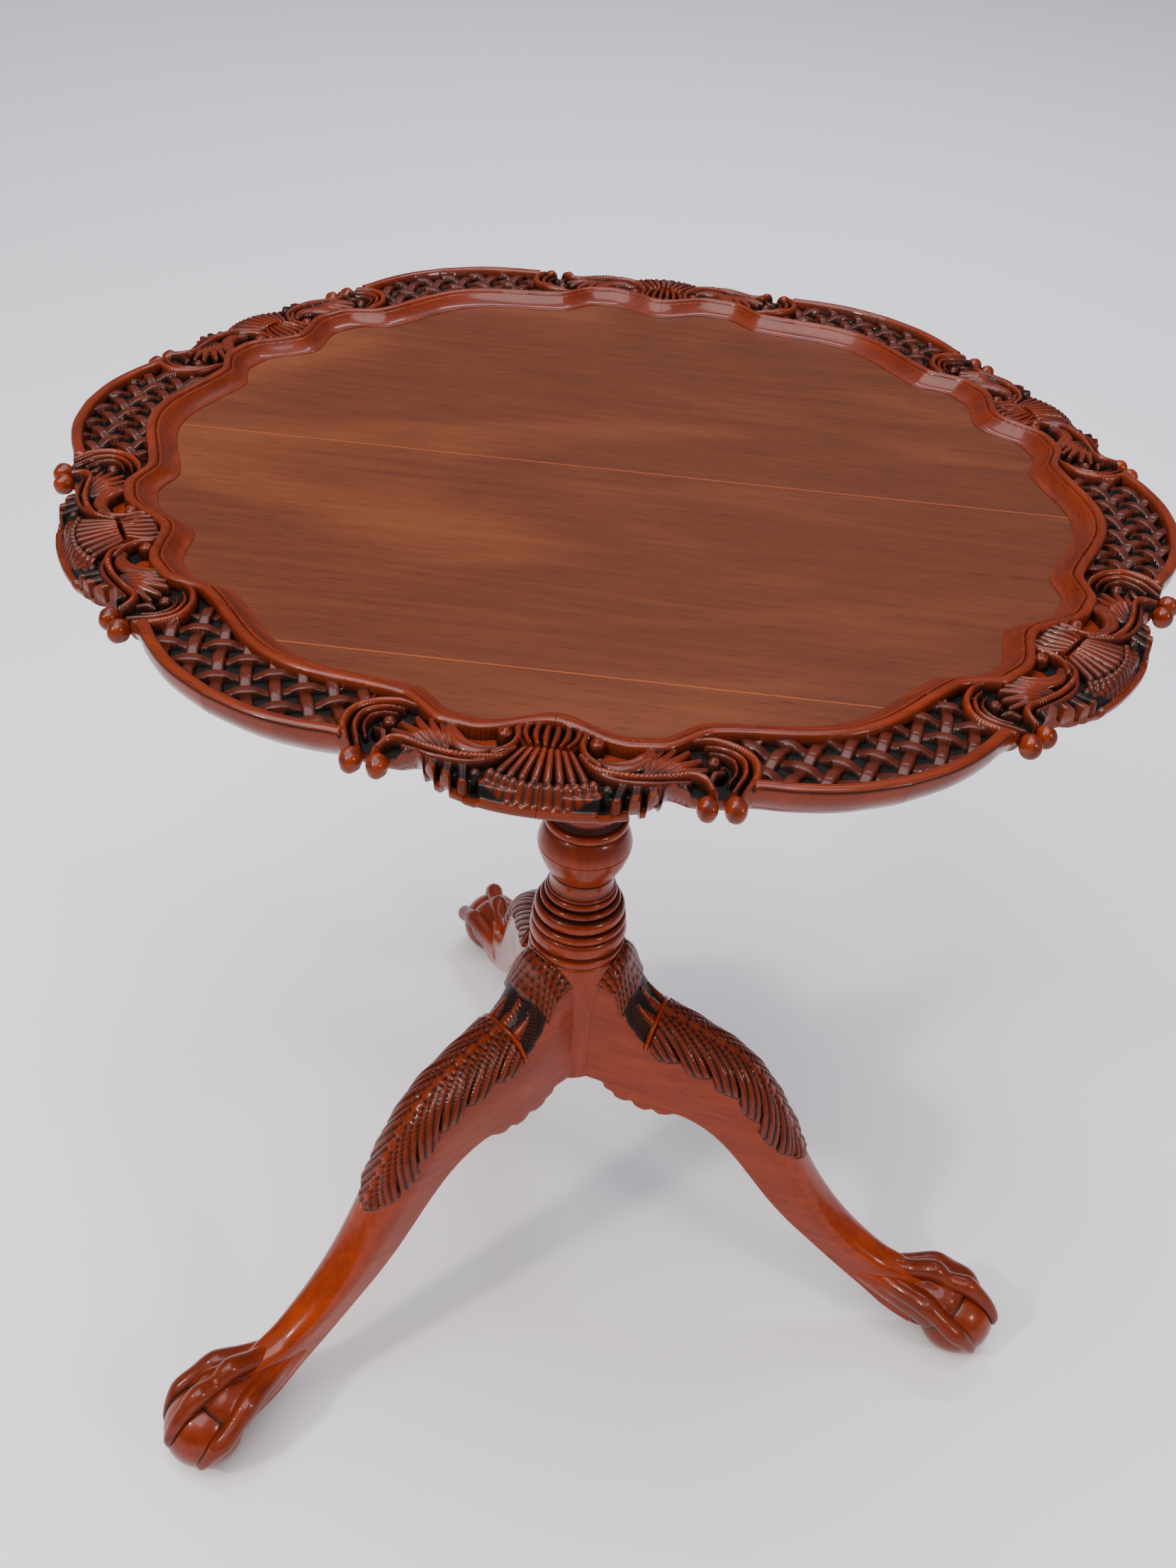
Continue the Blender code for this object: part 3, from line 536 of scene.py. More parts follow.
@dataclass
class CarvedRim:
    """Six carved rim segments: shells at their ends, basketwork between, and a moulding round the field."""

    axis: Vector
    top_z: float
    under_z: float
    field_z: float
    unit: float = 0.300    # radius that the rim's marks are told in
    disc: float = 0.3000    # the boards that the rim is rebated over
    columns: int = 620
    across: int = 132
    gap: float = 0.00012    # half the seam between two segments
    mm_per_degree: float = 5.39    # run of the carving for each degree
    moulding_mm: float = 15.5    # reach of the moulding inward from its bead

    def bead(self, t: np.ndarray) -> np.ndarray:
        """Radius of the moulding's bead, in rim units, at degrees from a shell's centre."""
        lobe = 0.918 + 0.050 * smoothstep(0.0, 7.6, t)
        cusp = 0.928 + 0.040 * (1.0 - smoothstep(10.2, 15.8, t))
        sweep = 0.928 + 0.040 * (0.5 - 0.5 * np.cos(np.pi * np.clip((t - 15.5) / 14.5, 0, 1)))
        return np.where(t < 10.2, lobe, np.where(t < 15.5, cusp, sweep))

    def edge(self, t: np.ndarray) -> np.ndarray:
        """Outer radius, in rim units, at degrees from a shell's centre."""
        marks = [(0.0, 1.113), (2.5, 1.112), (5.0, 1.107), (7.5, 1.096), (9.2, 1.082), (10.4, 1.062),
                 (11.2, 1.060), (12.4, 1.072), (13.8, 1.077), (15.3, 1.080), (16.6, 1.080), (18.5, 1.085),
                 (21.0, 1.099), (25.0, 1.115), (30.0, 1.122)]
        fine = curve_points(marks, 240)
        return np.interp(t, fine[:, 0], fine[:, 1])

    def fan(self, relief: Relief, origin: float, side: float, step: float, reach: tuple[float, float],
            spread: float, top: float, fall: float, depth: float, curl: float = 0.0) -> None:
        """Carve one fan of shell ribs.

        Args:
            relief: The height field.
            origin: Y of the point that the ribs spread from.
            side: One if the ribs run outward, minus one if inward.
            step: Degrees from rib to rib.
            reach: Distance from the origin where the ribs start and end.
            spread: Half angle of the fan in degrees.
            top: Height of the middle ribs.
            fall: Drop of the ribs over their length.
            depth: Depth of the cuts between ribs.
            curl: How much the ribs lean outward along their length.
        """
        dy = side * (relief.y - origin)
        rho = np.hypot(relief.x, dy)
        run = np.clip((rho - reach[0]) / (reach[1] - reach[0]), 0.0, 1.0)
        phi = np.degrees(np.arctan2(relief.x, dy)) * (1.0 - curl * run)
        place_in_rib = saw(phi / step)
        round_rib = half_round(place_in_rib / (1.0 - 0.14 * run), 3.4)
        end = reach[1] - 2.6 * place_in_rib**2
        tip = half_round(np.clip((rho - end + 2.5) / 2.5, 0.0, 1.0))
        swell = top - fall * run**1.5 - 1.4 * (phi / spread) ** 2
        z = swell - depth * (0.4 + 0.6 * run) * (1.0 - round_rib * tip)
        inside = (dy > 0) & (rho > reach[0]) & (rho < end) & (np.abs(phi) < spread)
        relief.raise_to(z, inside)

    def inner_ribs(self, relief: Relief) -> None:
        """Carve the short ribs between the crossbar and the moulding, each bowed outward like a C.

        Args:
            relief: The height field.
        """
        crossbar, end, pitch = -2.0, -21.5, 3.5
        run = np.clip((crossbar - relief.y) / (crossbar - end), 0.0, 1.0)
        bow = 1.0 + 0.58 * np.sin(np.pi * 0.75 * run)
        across = np.abs(relief.x) / bow
        round_rib = half_round(saw(across / pitch) / 0.84)
        tip = half_round(np.clip((run - 0.86) / 0.14, 0.0, 1.0))
        z = 0.2 - 1.6 * run - 4.6 * (1.0 - round_rib * tip)
        relief.raise_to(z, (relief.y < crossbar) & (relief.y > end) & (across < 3.5 * pitch))

    def notch(self, relief: Relief) -> None:
        """Cut the notched line across the waist of the shell."""
        across = np.clip(1.0 - np.abs(relief.x) / 17.0, 0.0, 1.0) ** 0.3
        relief.z = relief.z - 2.6 * across * np.exp(-(((relief.y + 1.0) / 1.1) ** 2))

    def weave(self, relief: Relief, x: np.ndarray, mask: np.ndarray) -> np.ndarray:
        """Carve over-and-under basketwork on the diagonal.

        Args:
            relief: The height field.
            x: Distance along the rim from the middle of the lattice, in millimetres.
            mask: Where the lattice shows.

        Returns:
            Where a strip lies.
        """
        strips = np.zeros_like(mask)
        pitch, half = 14.0, 3.15
        for sign in (1.0, -1.0):
            along = (x + sign * (relief.y - 8.0)) / math.sqrt(2.0)
            cross = (x - sign * (relief.y - 8.0)) / math.sqrt(2.0)
            number = np.round(cross / pitch)
            offset = np.abs(cross - number * pitch) / half
            wave = sign * np.cos(math.pi * (along / pitch + number))
            z = -4.3 + 1.9 * np.tanh(1.3 * wave) - 0.9 * offset**4
            relief.raise_to(z, mask & (offset < 1.0))
            strips |= mask & (offset < 0.9)
        return strips

    def carve_shell_side(self, relief: Relief) -> None:
        """Carve the scrolls, leaves and knobs between the shell and the lattice, on one side of the shell."""
        strands = [
            # neck of the shell's volute, round the bud and on into the long rope
            ([(8, -20.5), (14, -19.5), (17.3, -14.5), (16.3, -7), (18.5, 0.5), (25, 7.5)],
             (1.6, 2.2, 2.0), (-1.2, 0.2, -0.6), 4.5, 0.0),
            ([(16, 1), (22, 9.5), (31, 13.2), (44, 14.6), (56, 13.4), (67, 12.0), (73, 15.0), (75.5, 22),
              (76.5, 29)], (1.8, 2.3, 2.3, 2.2, 2.4), (-1.0, 0.3, -0.2, 0.2, -3.0), 4.8, 0.0),
            ([(24, 12.5), (34, 17.2), (46, 18.8), (58, 17.4), (66, 16.2)],
             (1.2, 1.8, 1.3), (-2.0, -1.0, -2.2), 4.0, 0.0),
            # strap leaf under the void
            ([(25, 3), (32, 6.5), (41, 4.8), (48, -1.5), (51.5, -9.0)],
             (2.6, 4.8, 5.0, 3.0), (-1.6, -0.6, -0.2, -1.2), 4.2, 0.7),
            # acanthus fingers
            ([(47, 10.5), (50, 2), (55.5, -6.5)], (3.0, 3.0, 1.7), (-2.0, -0.2, -1.6), 4.4, 0.9),
            ([(48, 11), (54.5, 2.5), (61.5, -7.0)], (3.2, 3.3, 1.8), (-2.0, 0.2, -1.4), 4.4, 0.9),
            ([(50, 11.5), (59, 3.5), (68, -5.5)], (3.2, 3.4, 2.0), (-2.0, 0.3, -1.2), 4.4, 0.9),
            ([(52, 12), (62.5, 6.0), (73, 0.5)], (3.0, 3.3, 2.0), (-2.0, 0.1, -1.5), 4.4, 0.9),
            ([(54, 12.5), (65, 9.0), (75, 6.5)], (2.8, 2.9, 1.8), (-2.2, -0.6, -2.2), 4.4, 0.7),
            # small leaflets below the rope
            ([(36, 19), (33.5, 27.5)], (2.6, 2.2), (-3.0, -4.5), 3.4, 0.8),
            ([(42.5, 20), (41, 28.5)], (2.8, 2.3), (-2.8, -4.2), 3.4, 0.8),
            ([(49.5, 20), (49.5, 28.0)], (2.8, 2.3), (-2.8, -4.4), 3.4, 0.8),
            ([(56.5, 19), (57.5, 26.5)], (2.7, 2.2), (-2.9, -4.6), 3.4, 0.8),
            ([(63, 18), (64.5, 25.0)], (2.5, 2.4), (-3.0, -4.8), 3.4, 0.8),
            # triple scroll that closes the lattice and rolls into the outer knob
            ([(68, -13.5), (76, -15.0), (84.5, -13.2), (93.5, -7.5), (99.4, 2.5), (98.0, 13.5),
              (92.0, 22.5), (86.5, 29.5)], (1.0, 2.2, 2.5, 2.5, 2.4), (-2.2, 0.2, 0.4, 0.0, -2.5), 4.8, 0.0),
            ([(78, -10.5), (85, -8.6), (91, -3.6), (94.4, 3.0), (92.6, 12.0), (87.5, 19.5), (83.0, 26.0)],
             (1.1, 1.8, 1.8, 1.6), (-2.0, -0.6, -1.0, -3.2), 4.4, 0.0),
            ([(79, -6.0), (85, -3.8), (89.5, 1.5), (89.2, 9.0), (84.5, 16.0)],
             (0.9, 1.4, 1.2), (-2.6, -1.6, -3.2), 4.0, 0.0),
            # leaf curled inside the scroll
            ([(76.5, 14), (79, 9.5), (83.5, 8.0)], (1.6, 2.0, 1.2), (-3.0, -2.0, -3.0), 3.6, 0.6),
            # strand that rolls over into the inner knob
            ([(59, 22), (63, 27.0), (66, 30.5)], (2.0, 2.6, 3.0), (-3.8, -3.4, -5.0), 4.0, 0.0),
        ]
        relief.sink([(27, -13.5), (36, -12.6), (46, -9.0), (44.5, -3.5), (38, 1.0), (30.5, 0.5),
                     (26.5, -5.5)], -13.5)
        relief.sink([(77, -5), (84, -2), (87, 4), (84, 12), (79, 14), (75, 8)], -12.0)
        relief.sink([(28, 22), (33, 30), (30, 34), (25, 31)], -14.5)
        for points, half, top, depth, groove in strands:
            relief.strand(points, half, top, depth, groove)
        relief.dome(23.4, -9.6, 4.3, 0.4, 4.0, 1.1)
        relief.dome(80.0, 0.6, 3.6, -1.4, 4.0, 0.8)
        relief.dome(29.5, 21.5, 3.0, -3.2, 3.5, 0.0)
        relief.dome(71.0, 28.0, 3.2, -4.0, 3.8, 0.0)

    def heights(self) -> tuple[np.ndarray, np.ndarray, np.ndarray, np.ndarray]:
        """Work out the carved top of one segment.

        Returns:
            Angles of the columns in degrees, radii of the grid in metres, its heights in metres from the
            carving's top, and the darkest painted shade, partly dark staining, that each point may take.
        """
        inset = math.degrees(self.gap / self.unit)
        degrees = np.linspace(inset, 60.0 - inset, self.columns)
        t = np.minimum(degrees, 60.0 - degrees)
        bead, edge = self.bead(t), self.edge(t)
        unit_mm = self.unit * 1000.0
        foot = bead - self.moulding_mm * MM / self.unit
        s = np.linspace(0.0, 1.0, self.across)
        r = foot[:, None] + s[None, :] * (edge - foot)[:, None]
        tt = np.broadcast_to(t[:, None], r.shape)
        x, y = tt * self.mm_per_degree, (r - 1.0) * unit_mm
        from_bead = (r - bead[:, None]) * unit_mm
        from_edge = (edge[:, None] - r) * unit_mm
        floor = np.full(r.shape, -7.4)
        ledge = (1.0 - smoothstep(9.6, 10.6, tt)) * (1.0 - smoothstep(3.4, 6.5, from_edge))
        relief = Relief(x, y, floor - 5.8 * ledge)
        lattice = (tt > 17.6) & (from_bead > 3.0) & (from_edge > 5.0)
        past_scroll = (y < 0.5 + 1.2 * (tt - 17.8)) | (tt > 18.6)
        from_middle = np.broadcast_to((degrees - 30.0)[:, None] * self.mm_per_degree, r.shape)
        strips = self.weave(relief, from_middle, lattice & past_scroll & (tt > 18.2))
        self.inner_ribs(relief)
        self.fan(relief, -25.0, 1.0, 6.9, (25.6, 49.5), 27.6, 0.3, 2.2, 6.0)
        self.notch(relief)
        lip_rho = np.hypot(x, y + 25.0)
        lip_phi = np.degrees(np.arctan2(x, y + 25.0))
        flute = np.abs(np.cos(np.radians(lip_phi * 180.0 / 4.6)))
        lip = -4.2 - 8.6 * smoothstep(50.2, 56.5, lip_rho) + 1.1 * flute
        on_lip = (lip_rho > 48.6) & (lip_rho < 56.6) & (np.abs(lip_phi) < 29.5)
        relief.raise_to(lip, on_lip)
        # caps on the painted shade: the lip stays lighter on its flute crests, the deep ledge is kept light,
        # and the basket strips are held to 0.62
        limit = np.where(on_lip, 0.95 - 0.75 * flute, 1.0)
        limit = np.where((tt < 10.8) & (from_edge < 3.4) & (relief.z < -12.0), 0.20, limit)
        limit = np.where(strips, 0.62, limit)
        self.carve_shell_side(relief)
        rope = -2.0 + 2.4 * half_round((from_edge - 3.4) / 3.5)
        border = smoothstep(16.8, 17.6, tt)
        relief.raise_to(rope * border + (1 - border) * -9.0, (from_edge < 6.9) & (tt > 16.8))
        q = np.clip((from_bead + self.moulding_mm) / 10.4, 0.0, 1.0)
        cove = -8.2 + 0.5 * np.clip(q / 0.03, 0, 1) + 6.1 * q**1.9
        lip_flat = np.where(from_bead < -3.6, -1.5, -2.3)
        moulding = np.where(from_bead < -5.1, cove, lip_flat)
        round_bead = -2.2 + 2.3 * half_round(from_bead / 3.0)
        moulding = np.where(np.abs(from_bead) < 3.0, np.maximum(round_bead, -2.6), moulding)
        z = np.where(from_bead < 3.0, moulding, relief.z)
        return degrees, r * self.unit, z * MM, limit

    def build(self, material: bpy.types.Material) -> None:
        """Build the six segments.

        Args:
            material: Carved mahogany.
        """
        degrees, radius, z, limit = self.heights()
        # painted shade: points that lie below their blurred surroundings, and deep points, are painted
        # darker, less so in the moulding; every point of the rim is also made 0.16 darker
        narrow = np.clip((box_blur(z, 5, 4) - z) / (0.8 * MM), 0.0, 1.0)
        broad = np.clip((box_blur(z, 16, 11) - z) / (1.6 * MM), 0.0, 1.0)
        cavity = np.clip(0.75 * narrow + 0.6 * broad, 0.0, 1.0)
        depth = 0.5 * smoothstep(0.3, 2.8, -z / MM) + 0.5 * smoothstep(2.4, 5.0, -z / MM)
        s = np.linspace(0, 1, self.across)[None, :]
        in_moulding = s * (radius[:, -1:] - radius[:, :1]) < 15.0 * MM
        dark = np.where(in_moulding, 0.35 * cavity, np.clip(0.9 * cavity + depth, 0.0, 1.0))
        dark = 0.16 + 0.84 * np.minimum(dark, limit)
        edge, top = radius[:, -1], self.top_z + z[:, -1]
        thick = top - self.under_z
        # how far the outer side stands out from the edge, against how far down the rim it has come
        side = [(0.0001, 0.08), (0.0003, 0.22), (-0.0003, 0.38), (-0.0018, 0.54), (-0.0040, 0.68),
                (-0.0066, 0.82), (-0.0090, 0.94), (-0.0106, 1.0)]
        step = np.full_like(edge, self.disc + 0.0003)
        columns = [(edge + out, top - down * thick) for out, down in side]
        under, seat = np.full_like(edge, self.under_z), np.full_like(edge, self.field_z + 0.0003)
        columns += [(step, under), (step, seat), (radius[:, 0], seat)]
        ring_r = np.hstack([radius, np.stack([c[0] for c in columns], axis=1)])
        ring_z = np.hstack([self.top_z + z, np.stack([c[1] for c in columns], axis=1)])
        shade = np.hstack([dark, np.zeros((len(edge), len(columns)))])
        angle = np.radians(degrees)[:, None]
        verts = np.stack([ring_r * np.cos(angle), ring_r * np.sin(angle), ring_z], axis=-1)
        rows, cols = ring_r.shape
        quads = tube_faces(rows, cols)[:, ::-1]
        verts, quads, shade = self.add_knobs(verts.reshape(-1, 3), quads, shade.reshape(-1))
        chord = math.radians(120.0)    # the way a segment's plank runs
        c, n = math.cos(chord), math.sin(chord)
        x, y, high = verts.T
        grain = np.stack([x * c + y * n, y * c - x * n, high], axis=-1)
        mesh = mesh_from("rim", verts, quads, end_caps(rows, cols), 48.0, shade, grain)
        for i in range(6):
            place(f"carved_rim_{i + 1}", mesh.copy(), material, Body.TOP,
                  turned(self.axis, 30.0 + 60.0 * i), [f"rim_segment_{i + 1}"])

    def add_knobs(self, verts: np.ndarray, quads: np.ndarray,
                  shade: np.ndarray) -> tuple[np.ndarray, np.ndarray, np.ndarray]:
        """Add the rolled knobs that hang on the outside at both ends of a segment.

        Args:
            verts: Vertices so far.
            quads: Faces so far.
            shade: Painted shade of each vertex.

        Returns:
            The three arrays with the knobs added.
        """
        rows, cols = 22, 30
        theta, phi = ball_angles(rows, cols)
        groove = 0.07 * np.clip(np.cos(2 * phi + 9.0 * theta / np.pi), 0, 1) * np.sin(theta)
        swell = 1.0 - groove
        local = np.stack([np.cos(theta) * swell, np.sin(theta) * np.cos(phi) * swell,
                          np.sin(theta) * np.sin(phi) * swell], axis=-1)
        for degrees, radius, size in ((13.5, 1.094, 6.0), (15.8, 1.098, 6.3)):
            for at in (degrees, 60.0 - degrees):
                a = math.radians(at)
                centre = np.array([radius * self.unit * math.cos(a), radius * self.unit * math.sin(a),
                                   self.top_z - 9.4 * MM])
                out = np.array([math.cos(a), math.sin(a), 0.0])
                tangent = np.array([-math.sin(a), math.cos(a), 0.0])
                scale = size * MM
                points = (centre + local[..., :1] * tangent * scale * 0.86 + local[..., 1:2] * out * scale
                          + local[..., 2:3] * np.array([0, 0, scale * 1.08]))
                quads = np.vstack([quads, tube_faces(rows, cols, start=len(verts))])
                verts = np.vstack([verts, points.reshape(-1, 3)])
                # painted shade in the knob's spiral groove
                shade = np.append(shade, np.clip(groove.reshape(-1) * 8, 0, 0.8))
        return verts, quads, shade


@dataclass
class Field:
    """The sunk field: three boards whose glue lines show as thin pale lines."""

    axis: Vector
    top_z: float
    under_z: float
    radius: float = 0.3000
    back_line: float = 0.0060
    front_line: float = -0.2237
    skew: float = math.radians(1.5)

    def outline(self, low: float, high: float) -> list[tuple[float, float]]:
        """Plan of the part of the disc between two skewed lines.

        Args:
            low: Nearer line's Y at the middle.
            high: Farther line's Y at the middle.

        Returns:
            Polygon points.
        """
        slope = math.tan(self.skew)
        circle = [(self.radius * math.cos(a), self.radius * math.sin(a))
                  for a in (2 * math.pi * i / 240 for i in range(240))]
        points: list[tuple[float, float]] = []
        for a, b in zip(circle, circle[1:] + circle[:1]):
            ha, hb = a[1] - slope * a[0], b[1] - slope * b[0]
            if low <= ha <= high:
                points.append(a)
            for level in (low, high):
                if (ha - level) * (hb - level) < 0:
                    t = (level - ha) / (hb - ha)
                    points.append((a[0] + t * (b[0] - a[0]), a[1] + t * (b[1] - a[1])))
        return points

    def build(self, material: bpy.types.Material) -> None:
        """Build the three boards.

        Args:
            material: Figured mahogany.
        """
        hair = 0.00002    # half the gap at a glue line
        spans = {"board_front": (-1.0, self.front_line - hair), "board_back": (self.back_line + hair, 1.0),
                 "board_middle": (self.front_line + hair, self.back_line - hair)}
        for node, (low, high) in spans.items():
            points = self.outline(low, high)
            verts = np.array([(x, y, z) for z in (self.under_z, self.top_z) for x, y in points])
            n = len(points)
            quads = tube_faces(2, n)
            mesh = mesh_from(node, verts, quads, [list(range(n - 1, -1, -1)), list(range(n, 2 * n))], 30.0)
            place(f"field_{node}", mesh, material, Body.TOP, Matrix.Translation(self.axis), [node])


# ---------------------------------------------------------------- pillar and legs


@dataclass
class Pillar:
    """The turned pillar, with crisp rings and scored lines."""

    axis: Vector
    sides: int = 144

    def profile(self) -> list[tuple[float, float]]:
        """Turned profile in millimetres, top to bottom, as (radius, height)."""
        rings: list[tuple[float, float]] = [
            (7.2, 692.0), (12.0, 689.0), (12.0, 650.4), (12.4, 650.0), (18.4, 650.0), (19.0, 649.4),
            (19.0, 592.4), (29.6, 592.4),
        ]

        def torus(high: float, low: float, inner: float, outer: float, count: int = 9) -> None:
            """Add a rounded ring between two heights."""
            for i in range(count + 1):
                a = math.pi * i / count
                rings.append((inner + (outer - inner) * math.sin(a),
                              high + (low - high) * (1 - math.cos(a)) / 2))

        torus(592.0, 583.4, 29.4, 31.8)
        rings.extend([(26.6, 582.8), (24.6, 580.0), (23.0, 575.0), (22.4, 570.0), (22.6, 567.2)])
        torus(566.6, 560.4, 22.8, 25.2)
        rings.extend([(21.0, 559.4), (19.2, 552.0), (18.2, 542.0), (17.9, 525.0), (18.6, 505.0),
                      (20.2, 488.0), (22.2, 475.0), (23.4, 468.0)])
        torus(466.8, 459.6, 23.4, 25.6)
        rings.extend([(23.6, 458.8), (23.4, 455.0), (24.0, 452.0), (26.2, 450.0), (26.4, 448.8)])
        torus(448.4, 441.4, 28.0, 30.6)
        rings.extend([(28.4, 441.0), (29.4, 440.4), (31.0, 437.0), (32.6, 433.0), (33.9, 429.0),
                      (34.6, 425.6), (34.6, 424.6), (33.9, 424.3), (33.9, 423.7), (34.4, 423.3),
                      (34.0, 420.5), (33.0, 416.5), (31.2, 411.5), (28.6, 405.5), (26.2, 401.0),
                      (24.9, 399.0), (23.6, 398.6), (23.6, 397.6), (24.3, 397.2), (23.7, 394.0),
                      (23.3, 390.5), (23.6, 387.5), (24.2, 385.8)])
        torus(385.4, 382.4, 23.8, 25.3, 7)
        torus(382.2, 375.6, 24.4, 27.0)
        torus(375.4, 369.6, 26.6, 30.0)
        torus(369.2, 357.8, 29.4, 33.9, 12)
        torus(357.4, 350.2, 32.4, 35.4)
        torus(349.8, 336.6, 33.0, 36.4, 12)
        rings.extend([(33.6, 336.2), (33.2, 335.2), (33.6, 334.4), (35.2, 334.0), (35.8, 333.2),
                      (35.9, 329.4), (35.6, 328.5), (34.9, 328.1), (34.8, 327.5), (35.1, 327.0),
                      (36.0, 326.6), (36.4, 325.6), (36.5, 300.0), (36.5, 214.0), (36.2, 212.2),
                      (35.4, 212.0)])
        return rings

    def build(self, material: bpy.types.Material) -> None:
        """Turn the pillar.

        Args:
            material: Polished mahogany.
        """
        profile = np.array(self.profile()) * MM
        angle = np.linspace(0, 2 * np.pi, self.sides, endpoint=False)
        verts = np.stack([profile[:, :1] * np.cos(angle), profile[:, :1] * np.sin(angle),
                          np.repeat(profile[:, 1:], self.sides, axis=1)], axis=-1)
        flat = verts.reshape(-1, 3)
        # painted shade in the rings' grooves and scored lines, from how far each point sinks below its
        # neighbours
        recess = np.repeat(self.cavities(profile), self.sides)
        grain = flat[:, [2, 0, 1]]    # the pillar's grain runs upward
        mesh = mesh_from("pillar", flat, tube_faces(len(profile), self.sides)[:, ::-1],
                         end_caps(len(profile), self.sides), 46.0, recess, grain)
        place("turned_pillar", mesh, material, Body.BASE, Matrix.Translation(self.axis), ["pillar"])

    def cavities(self, profile: np.ndarray) -> np.ndarray:
        """How far each profile point sinks below its neighbours within 4.5 mm, from zero to one."""
        r, z = profile[:, 0] / MM, profile[:, 1] / MM
        near = np.abs(z[:, None] - z[None, :]) < 4.5
        around = np.where(near, r[None, :], -1.0).max(axis=1)
        return np.clip((around - r - 0.5) / 3.0, 0.0, 0.85)


